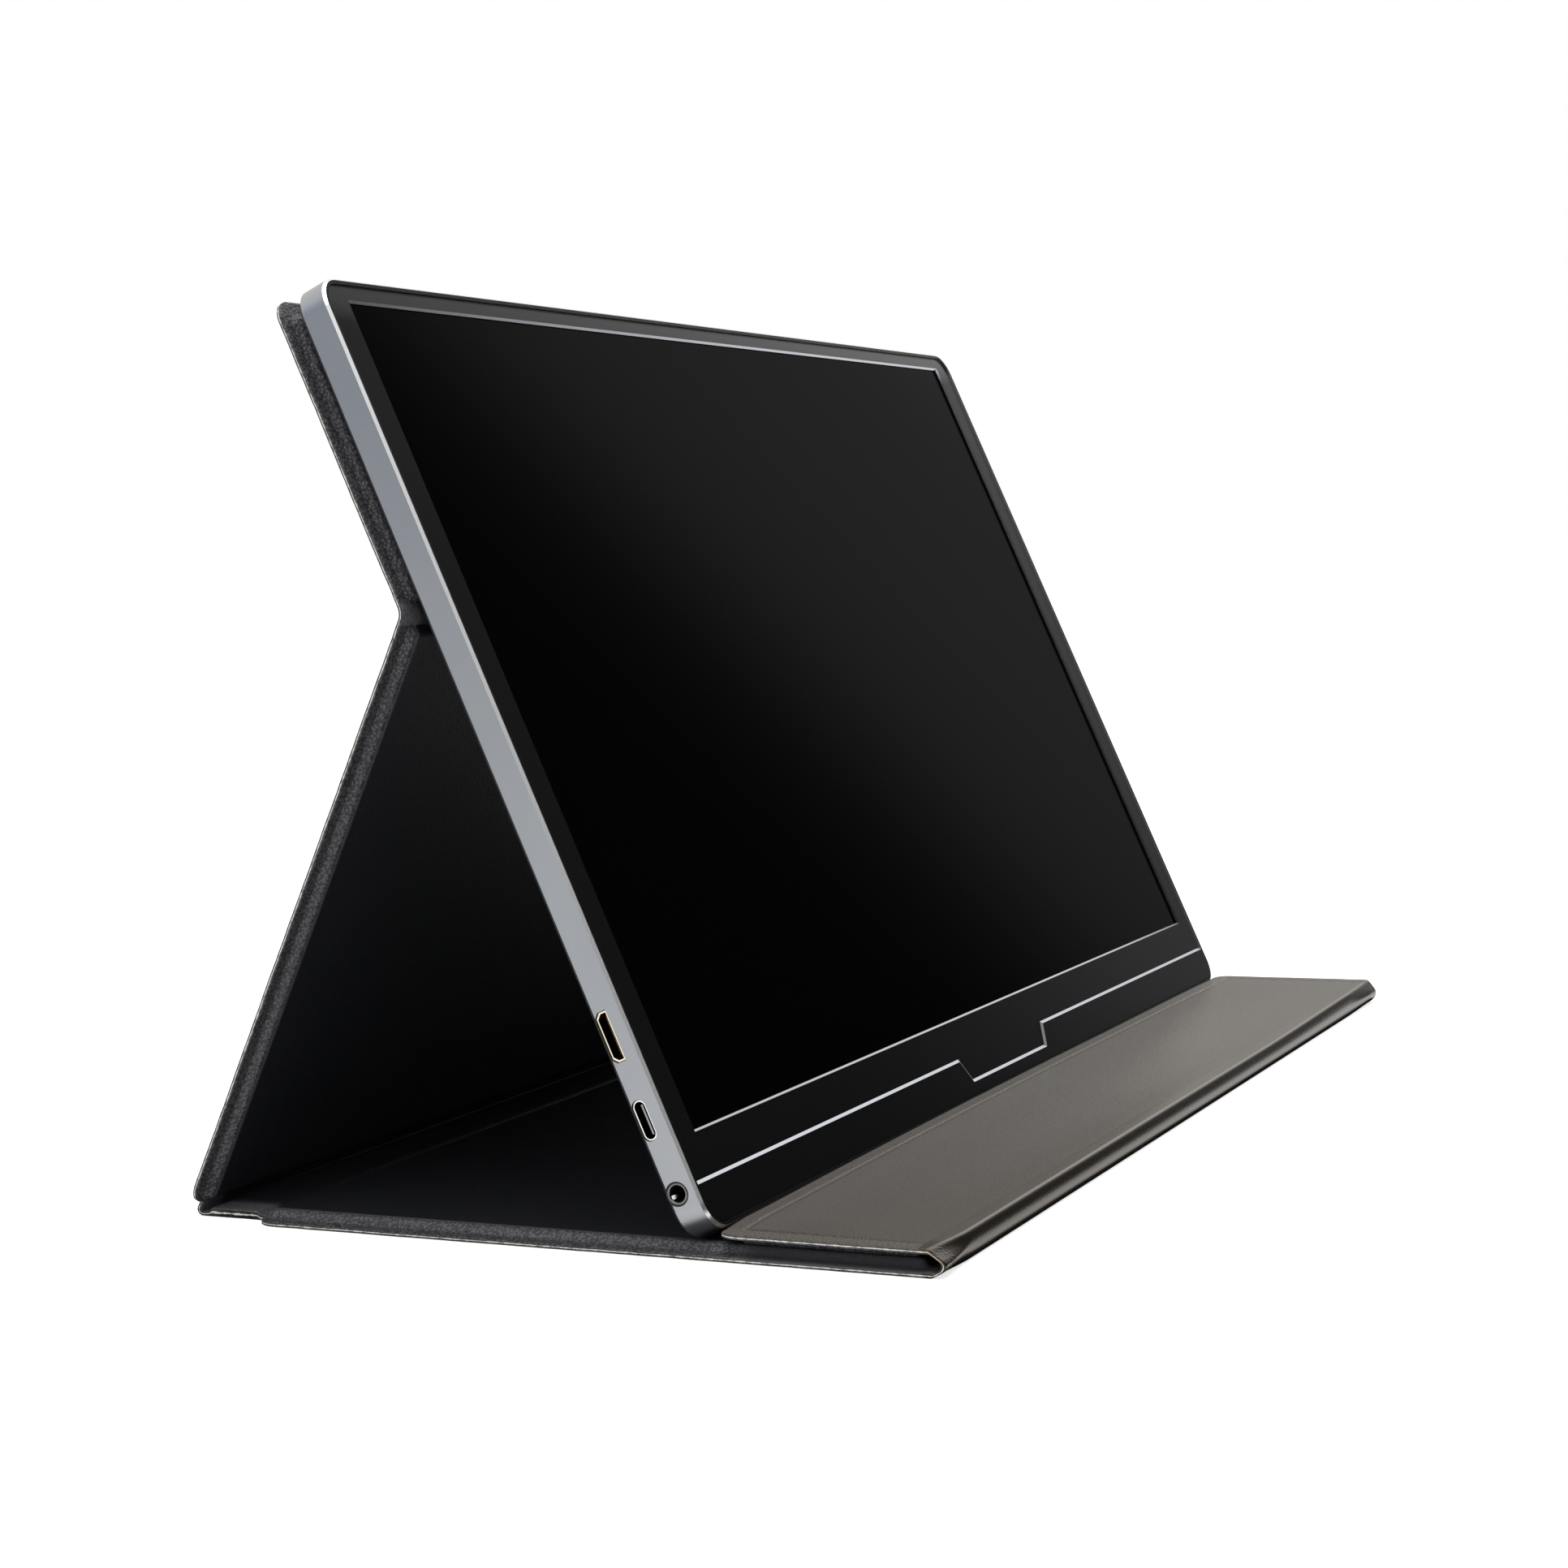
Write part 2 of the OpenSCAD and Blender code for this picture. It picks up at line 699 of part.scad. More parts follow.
// Flat cable across the case with a connector at each end
module control_cable() {
    cable_t = 0.15;
    cable_w = 5;
    x0 = driver_x0 + driver_len - 6;
    x1 = control_x1 - control_len + 6;
    u = control_u0 + 10;
    color("#c9ccd0") stand_display() {
        block(x0, x1, u, u + cable_w, floor_z, floor_z + cable_t);
        for (x = [x0, x1 - 3])
            block(x, x + 3, u, u + cable_w, floor_z + cable_t, board_z);
    }
}

module power_switch() {
    switch_block(power_u, key_x - key_flange_t - power_travel - 0.1);
}

module menu_switches() {
    for (s = [-1, 1])
        switch_block(rocker_u + s * rocker_len * 0.36, rocker_tip_x);
}

// Small side-press switch on the control board, with its plunger towards the wall
module switch_block(u, tip_x) {
    color("#d8d9da") stand_display() {
        block(control_x1 - 2.4, tip_x - 0.8, u - switch_d / 2, u + switch_d / 2,
            board_top_z, board_top_z + switch_h);
        translate([tip_x - 0.8, u, port_z]) rotate([0, 90, 0]) cylinder(h = 0.8, r = plunger_r);
    }
}

// Bracket on the control board with two ears that carry the rocker's pin
module rocker_holder() {
    core = rocker_core_h / 2 + ear_gap;
    color("#2d2d30") stand_display() difference() {
        union() {
            block(control_x1 - 2.4, rocker_pivot_x - 1.7, rocker_u - 1.2, rocker_u + 1.2,
                board_top_z, port_z + core + ear_t);
            for (z = [port_z - core - ear_t, port_z + core])
                block(control_x1 - 2.4, rocker_pivot_x + 0.8, rocker_u - 1.2, rocker_u + 1.2,
                    z, z + ear_t);
        }
        translate([rocker_pivot_x, rocker_u, port_z - 4])
            cylinder(h = 8, r = rocker_pin_r + 0.05);
    }
}

module power_button() {
    color("#8d9094") stand_display() {
        oval_bar(key_x - 0.1, monitor_w / 2 + key_proud, power_u, port_z, power_len, key_h);
        oval_bar(key_x - key_flange_t, key_x, power_u, port_z, power_len + key_flange, key_h + 0.4);
    }
}

module menu_rocker() {
    color("#8d9094") stand_display() {
        oval_bar(rocker_pivot_x + 1, monitor_w / 2 + key_proud, rocker_u, port_z, rocker_len, key_h);
        block(rocker_pivot_x - rocker_half_d, rocker_pivot_x + 1.2, rocker_u - rocker_len / 2 + 0.6,
            rocker_u + rocker_len / 2 - 0.6, port_z - rocker_core_h / 2, port_z + rocker_core_h / 2);
        translate([rocker_pivot_x, rocker_u, port_z])
            cylinder(h = rocker_core_h + 2 * (ear_gap + ear_t) - 0.1, r = rocker_pin_r, center = true);
    }
}

// ---------- speakers ----------

module speaker(x) {
    color("#2a2a2c") stand_display() difference() {
        block(x - speaker_w / 2, x + speaker_w / 2, speaker_u0, speaker_u0 + speaker_h,
            floor_z, floor_z + speaker_t);
        translate([x, speaker_u0 + speaker_h / 2, floor_z - 1]) cylinder(h = 1.8, r = 5.4);
    }
}

module left_speaker() { speaker(speaker_xs[0]); }

module right_speaker() { speaker(speaker_xs[1]); }

module speaker_leads() {
    u = speaker_u0 + speaker_h + lead_r;
    x0 = driver_x0 + driver_len;
    color("#a33a34") stand_display()
        translate([x0, u, floor_z + lead_r]) rotate([0, 90, 0])
            cylinder(h = speaker_xs[1] - x0, r = lead_r, $fn = 24);
}

// ---------- cover ----------

// One sheet of a panel: outer leather between y0 and y1, lying flat
module leather_sheet(y0, y1) {
    slab(cover_w, y0, y1, 0, skin_t, panel_r);
}

// Board area of a panel: f0 and f1 are the margins at its y0 and y1 ends
module board_area(y0, y1, f0, f1, grow, z0, z1) {
    slab(cover_w - 2 * margin_w + 2 * grow, y0 + f0 - grow, y1 - f1 + grow, z0, z1, 2);
}

module stiff_board(y0, y1, f0, f1) {
    board_area(y0, y1, f0, f1, 0, skin_t, panel_t - skin_t);
}

// Lining: bonded to the leather at the margins and raised over the board
module lining_sheet(y0, y1, f0, f1) {
    difference() {
        union() {
            slab(cover_w, y0, y1, skin_t, 2 * skin_t, panel_r);
            board_area(y0, y1, f0, f1, skin_t, skin_t, panel_t);
        }
        stiff_board(y0, y1, f0, f1);
    }
}

// Soft strip of both skins that runs from a panel to a fold line
module fold_web(y0, y1, z0, z1) {
    block(-fold_w / 2, fold_w / 2, y0, y1, z0, z1);
}

module bead() {
    rotate([0, 90, 0]) translate([0, 0, -fold_w / 2]) cylinder(h = fold_w, r = bead_r);
}

module magnet_row(xs, y, z, grow = 0) {
    for (x = xs)
        block(x - magnet_w / 2 - grow, x + magnet_w / 2 + grow, y - grow, y + magnet_l + grow,
            z - grow, z + magnet_t + grow);
}

upper_magnet_xs = [-plate_x - 30, -plate_x + 30, plate_x - 30, plate_x + 30];
upper_magnet_u = hold_u - magnet_l / 2;
row_magnet_xs = [-110, 0, 110];
magnet_z = skin_t + (board_h - magnet_t) / 2;
stop_magnet_y = 10;
base_magnet_y = stop_rear_y - stop_magnet_y - magnet_l;
web_reach = bead_r + bead_gap;
lining_reach = web_reach + 1.1;

module upper_leather() {
    color("#3a3a3b") stand_display() {
        leather_sheet(upper_u0, upper_u1);
        fold_web(fold_u + web_reach, upper_u0 + panel_r, 0, skin_t);
    }
}

module upper_board() {
    color("#8c7a5e") stand_display() difference() {
        stiff_board(upper_u0, upper_u1, fold_margin, margin_w);
        magnet_row(upper_magnet_xs, upper_magnet_u, magnet_z, magnet_gap);
    }
}

module upper_lining() {
    color("#1d1e22") stand_display() {
        lining_sheet(upper_u0, upper_u1, fold_margin, margin_w);
    }
}

module upper_magnets() {
    color("#b0b3b6") stand_display() magnet_row(upper_magnet_xs, upper_magnet_u, magnet_z);
}

module leg_leather() {
    color("#3a3a3b") stand_leg() {
        leather_sheet(leg_start, leg_end);
        fold_web(web_reach, leg_start + panel_r, 0, skin_t);
        fold_web(leg_end - panel_r, leg_len, 0, skin_t);
        translate([0, leg_len, bead_r]) bead();
    }
}

module leg_board() {
    color("#8c7a5e") stand_leg() stiff_board(leg_start, leg_end, fold_margin, fold_margin);
}

module leg_lining() {
    color("#151516") stand_leg() {
        lining_sheet(leg_start, leg_end, fold_margin, fold_margin);
        fold_web(lining_reach, leg_start + 1, skin_t, 2 * skin_t);
    }
}

// Hollow roll of both skins that joins the base to the stop panel lying on it
module front_fold() {
    sheet_t = 2 * skin_t;
    color("#4a4846") lay_base() {
        fold_web(roll_y, base_front_y, 0, sheet_t);
        fold_web(roll_y, stop_front_y, 2 * roll_r - sheet_t, 2 * roll_r);
        translate([fold_w / 2, roll_y, roll_r]) rotate([0, -90, 0]) linear_extrude(fold_w)
            difference() {
                circle(roll_r);
                circle(roll_r - sheet_t);
                translate([-roll_r, 0]) square(2 * roll_r);
            }
    }
}

module base_leather() {
    color("#3a3a3b") lay_base() {
        leather_sheet(base_front_y, base_rear_y);
        fold_web(base_rear_y - panel_r, rear_fold_y, 0, skin_t);
        translate([0, rear_fold_y, bead_r]) bead();
    }
}

module base_board() {
    color("#8c7a5e") lay_base() difference() {
        stiff_board(base_front_y, base_rear_y, fold_margin, margin_w);
        magnet_row(row_magnet_xs, base_magnet_y, magnet_z, magnet_gap);
    }
}

module base_lining() {
    color("#1d1e22") lay_base() {
        lining_sheet(base_front_y, base_rear_y, fold_margin, margin_w);
        difference() {
            fold_web(base_rear_y - 1, rear_fold_y - lining_reach, skin_t, 2 * skin_t + spine_board_t);
            fold_web(base_rear_y - 2, spine_y0 - skin_t, 2 * skin_t, 9);
            fold_web(spine_y0 + spine_board_w + skin_t, rear_fold_y, 2 * skin_t, 9);
            spine_stiffener();
        }
    }
}

module base_magnets() {
    color("#b0b3b6") lay_base() magnet_row(row_magnet_xs, base_magnet_y, magnet_z);
}

module spine_stiffener() {
    block(-fold_w / 2 + margin_w, fold_w / 2 - margin_w, spine_y0, spine_y0 + spine_board_w,
        skin_t, skin_t + spine_board_t);
}

module spine_board() {
    color("#8c7a5e") lay_base() spine_stiffener();
}

module stop_leather() {
    color("#4a4846") lay_stop() leather_sheet(0, stop_len);
}

module stop_board() {
    color("#8c7a5e") lay_stop() difference() {
        stiff_board(0, stop_len, margin_w, fold_margin);
        magnet_row(row_magnet_xs, stop_magnet_y, magnet_z, magnet_gap);
    }
}

module stop_lining() {
    color("#1d1e22") lay_stop() lining_sheet(0, stop_len, margin_w, fold_margin);
}

module stop_magnets() {
    color("#b0b3b6") lay_stop() magnet_row(row_magnet_xs, stop_magnet_y, magnet_z);
}

rear_shell();
front_bezel();
chin_plate();
case_screws();
steel_plates();
panel_tape();
lcd_glass();
optical_films();
light_guide();
reflector_sheet();
led_bar();
panel_tray();
panel_board();
panel_flexes();
panel_cable();
driver_board();
scaler_chip();
board_parts();
heat_pad();
board_screws();
headphone_jack();
data_socket();
video_socket();
power_socket();
control_board();
control_cable();
power_switch();
menu_switches();
rocker_holder();
power_button();
menu_rocker();
left_speaker();
right_speaker();
speaker_leads();
upper_leather();
upper_board();
upper_lining();
upper_magnets();
leg_leather();
leg_board();
leg_lining();
base_leather();
base_board();
base_lining();
base_magnets();
spine_board();
front_fold();
stop_leather();
stop_board();
stop_lining();
stop_magnets();
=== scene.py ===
import json
import math

import bmesh
import bpy
import numpy as np
from mathutils import Matrix, Vector


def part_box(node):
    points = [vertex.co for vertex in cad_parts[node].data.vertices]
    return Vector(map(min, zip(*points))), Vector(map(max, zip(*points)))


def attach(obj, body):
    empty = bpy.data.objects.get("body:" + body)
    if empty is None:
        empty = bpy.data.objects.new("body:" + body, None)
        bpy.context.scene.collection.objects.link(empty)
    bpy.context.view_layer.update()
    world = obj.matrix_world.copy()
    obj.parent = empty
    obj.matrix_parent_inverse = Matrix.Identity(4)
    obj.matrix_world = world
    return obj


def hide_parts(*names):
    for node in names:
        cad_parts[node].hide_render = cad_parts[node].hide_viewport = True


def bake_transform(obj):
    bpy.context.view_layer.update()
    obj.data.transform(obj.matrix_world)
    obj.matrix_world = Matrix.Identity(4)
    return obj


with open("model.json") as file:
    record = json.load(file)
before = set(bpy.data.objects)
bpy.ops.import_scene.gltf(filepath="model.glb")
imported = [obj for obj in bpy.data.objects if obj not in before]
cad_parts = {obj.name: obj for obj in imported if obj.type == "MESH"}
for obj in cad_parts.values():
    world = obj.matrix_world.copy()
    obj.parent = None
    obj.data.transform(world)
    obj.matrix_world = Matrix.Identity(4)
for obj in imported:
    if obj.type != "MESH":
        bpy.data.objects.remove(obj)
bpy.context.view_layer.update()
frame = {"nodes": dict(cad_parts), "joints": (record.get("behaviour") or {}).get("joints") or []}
nodes = frame["nodes"]

# ---- Case ----
# The back and sides are one thin shell of aluminium, milled, bead blasted and anodised
# silver. Its front edge is cut again with a diamond tool after anodising, so the bare
# chamfer is bright, while the narrow land inside it is painted black as painted shade.
TILT = math.radians(23.3)
CASE_X = 183.0  # mm from the middle to either side
FRONT = Vector((0, -math.cos(TILT), math.sin(TILT)))


def colour(code):
    """An sRGB hex code as linear values, with alpha."""
    parts = [int(code[i:i + 2], 16) / 255 for i in (1, 3, 5)]
    return [c / 12.92 if c <= 0.04045 else ((c + 0.055) / 1.055) ** 2.4 for c in parts] + [1]


def finish(name):
    """A new material, with its surface shader."""
    made = bpy.data.materials.new(name)
    made.use_nodes = True
    return made, made.node_tree.nodes["Principled BSDF"]


def join(made, source, taker, socket):
    """Links an output, or the first output of a node, to a socket of another node."""
    source = source.outputs[0] if isinstance(source, bpy.types.Node) else source
    made.node_tree.links.new(source, taker.inputs[socket])


def add(made, kind, inputs=None, **settings):
    """Adds one node: its settings, and its inputs as plain values, outputs or other nodes.

    A Mix node has its factor at 0, two plain values at 2 and 3, and two colours at 6 and 7.
    Its mixed colour comes out at 2.
    """
    node = made.node_tree.nodes.new("ShaderNode" + kind)
    for name, value in settings.items():
        setattr(node, name, value)
    for name, value in (inputs or {}).items():
        if isinstance(value, (bpy.types.Node, bpy.types.NodeSocket)):
            join(made, value, node, name)
        else:
            node.inputs[name].default_value = value
    return node


def wear(made, *names):
    """Gives CAD solids their finish."""
    for name in names:
        nodes[name].data.materials.clear()
        nodes[name].data.materials.append(made)


def facing(made):
    """How far a surface faces out of the screen: 1 on the flat front, 0 on the sides."""
    place = add(made, "TexCoord")
    return add(made, "VectorMath", {0: place.outputs["Normal"], 1: FRONT}, operation="DOT_PRODUCT")


# Bead blasting leaves a fine even frost of about 0.15 mm, drawn at 0.4 mm so that it shows
blasted, skin = finish("blasted_anodised_aluminium")
place = add(blasted, "TexCoord")
faced = facing(blasted).outputs["Value"]
cut = add(blasted, "MapRange", {"Value": faced, "From Min": 0.55, "From Max": 0.62})
frost = add(blasted, "TexNoise", {"Vector": place.outputs["Object"], "Scale": 2500, "Detail": 2})
cloud = add(blasted, "TexNoise", {"Vector": place.outputs["Object"], "Scale": 22, "Detail": 2})
silver = add(blasted, "Mix", {0: cloud.outputs["Fac"], 6: colour("#96989c"), 7: colour("#a4a6a8")},
             data_type="RGBA")
bright = add(blasted, "Mix", {0: cut, 6: silver.outputs[2], 7: colour("#eceded")}, data_type="RGBA")
matt = add(blasted, "MapRange", {"Value": frost.outputs["Fac"], "To Min": 0.30, "To Max": 0.40})
gloss = add(blasted, "Mix", {0: cut, 2: matt, 3: 0.26})
grit = add(blasted, "Bump", {"Height": frost.outputs["Fac"], "Strength": 0.12, "Distance": 0.00005})
# The walls of the cut-outs for the sockets are painted near black and not metallic, as painted shade
across = add(blasted, "SeparateXYZ", {0: place.outputs["Normal"]})
level = add(blasted, "Math", {0: across.outputs["X"]}, operation="ABSOLUTE")
wall = add(blasted, "Math", {0: level, 1: 0.1}, operation="LESS_THAN")
spot = add(blasted, "SeparateXYZ", {0: place.outputs["Object"]})
out = add(blasted, "Math", {0: spot.outputs["X"]}, operation="ABSOLUTE")
near = add(blasted, "Math", {0: out, 1: (CASE_X - 0.55) / 1000}, operation="GREATER_THAN")
shaded_cut_out = add(blasted, "Math", {0: wall, 1: near}, operation="MULTIPLY")
# The narrow land inside the chamfer is painted black and not metallic, as painted shade of the gap at the
# bezel's edge
shaded_land = add(blasted, "Math", {0: faced, 1: 0.93}, operation="GREATER_THAN")
painted_dark_gaps = add(blasted, "Math", {0: shaded_cut_out, 1: shaded_land}, operation="MAXIMUM")
toned = add(blasted, "Mix", {0: painted_dark_gaps, 6: bright.outputs[2], 7: colour("#0c0c0c")}, data_type="RGBA")
bare = add(blasted, "Math", {0: 1.0, 1: painted_dark_gaps}, operation="SUBTRACT")
join(blasted, bare, skin, "Metallic")
join(blasted, toned.outputs[2], skin, "Base Color")
join(blasted, gloss, skin, "Roughness")
join(blasted, grit.outputs["Normal"], skin, "Normal")
wear(blasted, "rear_shell")

# ---- Fasteners and steel ----
# Screws are cold-headed steel. Nine blackened ones hold the bezel from behind, and nickel
# plated ones the boards. Two punched plates are glued to the back wall for the magnets.


def surface(name, dark, light, cell, rough, metallic=0.0, bump=0.0, detail=2):
    """A finish whose colour and roughness drift between two values over cells of that size in mm."""
    made, skin = finish(name)
    place = add(made, "TexCoord")
    drift = add(made, "TexNoise", {"Vector": place.outputs["Object"], "Scale": 1000 / cell, "Detail": detail})
    tint = add(made, "Mix", {0: drift.outputs["Fac"], 6: colour(dark), 7: colour(light)}, data_type="RGBA")
    shine = add(made, "MapRange", {"Value": drift.outputs["Fac"], "To Min": rough[0], "To Max": rough[1]})
    join(made, tint.outputs[2], skin, "Base Color")
    join(made, shine, skin, "Roughness")
    skin.inputs["Metallic"].default_value = metallic
    if bump:
        relief = add(made, "Bump", {"Height": drift.outputs["Fac"], "Strength": 1.0, "Distance": bump / 1000})
        join(made, relief.outputs["Normal"], skin, "Normal")
    return made, skin, place, tint


# Blackening leaves the steel a soft, nearly black sheen
screw, *_ = surface("blackened_steel", "#17181a", "#26272a", 0.6, (0.28, 0.42), metallic=1)
wear(screw, "case_screws")
# Nickel has a bright and faintly yellow shine
nickel, *_ = surface("nickel_plated_steel", "#b9b6ae", "#cfccc4", 0.8, (0.18, 0.3), metallic=1)
wear(nickel, "board_screws")
# Hot-dip zinc freezes in flat crystals some 7 mm across, each of a slightly different grey
zinc, skin, place, tint = surface("galvanised_steel", "#8b9096", "#a9adb1", 7, (0.3, 0.42), metallic=1)
spangle = add(zinc, "TexVoronoi", {"Vector": place.outputs["Object"], "Scale": 140})
crystal = add(zinc, "Mix", {0: 0.35, 6: tint.outputs[2], 7: spangle.outputs["Color"]},
              data_type="RGBA", blend_type="SOFT_LIGHT")
join(zinc, crystal.outputs[2], skin, "Base Color")
wear(zinc, "steel_plates", "panel_tray")

# ---- Screen module ----
# A liquid crystal panel: glass in front, then diffuser films, a clear light guide with
# printed dots, a white reflector and a strip of lamps, all held in a steel tray by tape.
# Etching leaves the glass a haze of about 0.05 mm, drawn at 0.3 mm
glass, skin, *_ = surface("etched_anti_glare_glass", "#020202", "#030304", 0.3, (0.09, 0.12), bump=0.0005)
skin.inputs["IOR"].default_value = 1.5
skin.inputs["Specular IOR Level"].default_value = 0.05
wear(glass, "lcd_glass")
# Diffuser film is milky and silky
film, *_ = surface("polyester_diffuser_film", "#e4e6ea", "#f2f4f6", 0.5, (0.5, 0.6), bump=0.005)
wear(film, "optical_films")
# Foamed polyester is a dull and even white
white, *_ = surface("foamed_polyester_sheet", "#eceded", "#f7f7f6", 1.2, (0.7, 0.8), bump=0.01)
wear(white, "reflector_sheet")
# Dots of white ink 1.2 mm apart scatter the light out of the clear sheet
acrylic, skin, place, tint = surface("printed_acrylic_sheet", "#dfe8ec", "#e8eff2", 30, (0.05, 0.1))
dots = add(acrylic, "TexVoronoi", {"Vector": place.outputs["Object"], "Scale": 830, "Randomness": 0.0})
ink = add(acrylic, "MapRange", {"Value": dots.outputs["Distance"], "From Min": 0.3, "From Max": 0.34,
                                "To Min": 0.1, "To Max": 0.9})
join(acrylic, ink, skin, "Transmission Weight")
skin.inputs["IOR"].default_value = 1.49
wear(acrylic, "light_guide")
# The foam is a dull black, with cells of 0.4 mm
tape, *_ = surface("acrylic_foam_tape", "#1c1c1c", "#2b2b2b", 0.4, (0.8, 0.95), bump=0.05)
wear(tape, "panel_tape")
# Yellow phosphor caps, 3 mm long and 13 mm apart, on a white lacquered strip
lamps, skin, place, tint = surface("white_lacquered_lamp_strip", "#e6e6e2", "#f3f3f0", 2, (0.3, 0.4))
along = add(lamps, "SeparateXYZ", {0: place.outputs["Object"]})
pitch = add(lamps, "Math", {0: along.outputs["X"], 1: 0.0065}, operation="PINGPONG")
cap = add(lamps, "MapRange", {"Value": pitch, "From Min": 0.0014, "From Max": 0.0016})
strip = add(lamps, "Mix", {0: cap, 6: colour("#e8c23c"), 7: tint.outputs[2]}, data_type="RGBA")
join(lamps, strip.outputs[2], skin, "Base Color")
wear(lamps, "led_bar")

# ---- Circuit boards ----
# Glass-fibre boards under green solder lacquer, with a moulded scaler chip under a soft
# heat pad. Flat amber films and a ribbon join them to the panel and the keys.
board, skin, place, tint = surface("green_solder_lacquer", "#0d3d24", "#155232", 6, (0.3, 0.42))
# Tracks under the lacquer run in straight lines 0.8 mm apart, with a link every 1.7 mm
tracks = add(board, "TexBrick", {"Vector": place.outputs["Object"], "Scale": 300, "Mortar Size": 0.04,
                                 "Color1": (0, 0, 0, 1), "Color2": (0, 0, 0, 1), "Mortar": (1, 1, 1, 1)})
lacquer = add(board, "Mix", {0: tracks.outputs["Fac"], 6: tint.outputs[2], 7: colour("#2a7a4c")},
              data_type="RGBA")
ridge = add(board, "Bump", {"Height": tracks.outputs["Fac"], "Strength": 1.0, "Distance": 0.00003})
join(board, lacquer.outputs[2], skin, "Base Color")
join(board, ridge.outputs["Normal"], skin, "Normal")
wear(board, "panel_board", "driver_board", "control_board")
# Moulded epoxy is a dull black with a fine grit
chip, *_ = surface("moulded_epoxy", "#19191b", "#232326", 0.3, (0.5, 0.62), bump=0.01)
wear(chip, "scaler_chip")
# Small parts: tan ceramic, black resin and tinned metal, one or another every few mm
parts, skin, place, tint = surface("ceramic_and_tinned_parts", "#20201f", "#2d2c2a", 1, (0.35, 0.5))
sort = add(parts, "TexVoronoi", {"Vector": place.outputs["Object"], "Scale": 240})
pick = add(parts, "SeparateXYZ", {0: sort.outputs["Color"]})
kind = add(parts, "MapRange", {"Value": pick.outputs["X"], "From Min": 0.48, "From Max": 0.52})
mixed = add(parts, "Mix", {0: kind, 6: tint.outputs[2], 7: colour("#a08a68")}, data_type="RGBA")
join(parts, mixed.outputs[2], skin, "Base Color")
wear(parts, "board_parts")
# Filled silicone is a chalky grey blue
pad, *_ = surface("filled_silicone_pad", "#7f93a6", "#91a3b3", 0.5, (0.75, 0.88), bump=0.02)
wear(pad, "heat_pad")
# Copper lines 0.5 mm apart show through the amber film, drawn 1 mm apart so that they show
amber, skin, place, tint = surface("polyimide_film", "#a45c1c", "#bd7427", 3, (0.2, 0.3))
lines = add(amber, "TexWave", {"Vector": place.outputs["Object"], "Scale": 320},
            wave_type="BANDS", bands_direction="X")
lined = add(amber, "Mix", {0: lines.outputs["Fac"], 6: tint.outputs[2], 7: colour("#d08a4a")},
            data_type="RGBA")
join(amber, lined.outputs[2], skin, "Base Color")
wear(amber, "panel_flexes", "panel_cable")
# The ribbon's sleeve is a satin white
ribbon, *_ = surface("white_ribbon_cable", "#d5d6d4", "#e3e4e2", 1, (0.4, 0.5), bump=0.01)
wear(ribbon, "control_cable")
# Stamping leaves the frames a smeared, satin shine
switch, *_ = surface("stamped_switch_frames", "#9fa2a5", "#b8bbbd", 1.5, (0.25, 0.4), metallic=1)
wear(switch, "power_switch", "menu_switches")
# Acetal has a waxy, creamy gloss
acetal, *_ = surface("moulded_acetal", "#d8d6cf", "#e6e4de", 2, (0.35, 0.45), bump=0.005)
wear(acetal, "rocker_holder")
# The boxes are a satin black with a fine moulded grain
speaker, *_ = surface("moulded_speaker_box", "#141415", "#1e1e20", 0.5, (0.5, 0.65), bump=0.02)
wear(speaker, "left_speaker", "right_speaker")
# Silicone insulation has a soft red gloss
leads, *_ = surface("silicone_wire", "#8f2018", "#a62b20", 2, (0.4, 0.5))
wear(leads, "speaker_leads")

# ---- Front frame ----
# The bezel and the chin plate are injection moulded ABS with a fine spark-eroded texture.
# Their bevels round the opening and along the chin's step are left as cut. They are painted a pale metallic
# grey, as painted highlight, so that they show as bright lines.
JOINT = {j["name"]: Vector(j["pos_m"]) * 1000 for j in frame["joints"] if "pos_m" in j}
# The case's front lower edge lies this far down the case and in front of the back fold's axis
FOLD_U, AXIS_V = 147.4, 11.9
FOOT_Y = JOINT["back_fold"].y - FOLD_U * math.sin(TILT) - AXIS_V * math.cos(TILT)
FOOT_Z = JOINT["back_fold"].z - FOLD_U * math.cos(TILT) + AXIS_V * math.sin(TILT)
UP = Vector((0, math.sin(TILT), math.cos(TILT)))
# The step's height over the foot, outside and in the dip, and the widths of the dip and a slant
STEP_H, DIP_H, DIP_W, SLANT_W = 11.5, 5.3, 54.4, 3.7
DIP_END = Vector((-DIP_W, 2 * FOOT_Y, 2 * FOOT_Z)) / 2000 + UP * DIP_H / 1000
BROW = UP.dot(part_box("front_bezel")[1]) - 0.0052
# The texture's pits are about 0.05 mm wide, drawn at 0.3 mm so that they show
abs_black, skin = finish("spark_textured_abs")
place = add(abs_black, "TexCoord")
front = facing(abs_black).outputs["Value"]
low = add(abs_black, "MapRange", {"Value": front, "From Min": 0.2, "From Max": 0.3})
high = add(abs_black, "MapRange", {"Value": front, "From Min": 0.9, "From Max": 0.96,
                                   "To Min": 1, "To Max": 0})
painted_bevel_shine = add(abs_black, "Math", {0: low, 1: high}, operation="MULTIPLY")
spark = add(abs_black, "TexNoise", {"Vector": place.outputs["Object"], "Scale": 3300, "Detail": 2})
flow = add(abs_black, "TexNoise", {"Vector": place.outputs["Object"], "Scale": 14, "Detail": 1})
plain = add(abs_black, "Mix", {0: flow.outputs["Fac"], 6: colour("#0a0a0b"), 7: colour("#0f0f0f")},
            data_type="RGBA")
tone = add(abs_black, "Mix", {0: painted_bevel_shine, 6: plain.outputs[2], 7: colour("#b7bac0")}, data_type="RGBA")
matt = add(abs_black, "MapRange", {"Value": spark.outputs["Fac"], "To Min": 0.14, "To Max": 0.22})
gloss = add(abs_black, "Mix", {0: painted_bevel_shine, 2: matt, 3: 0.2})
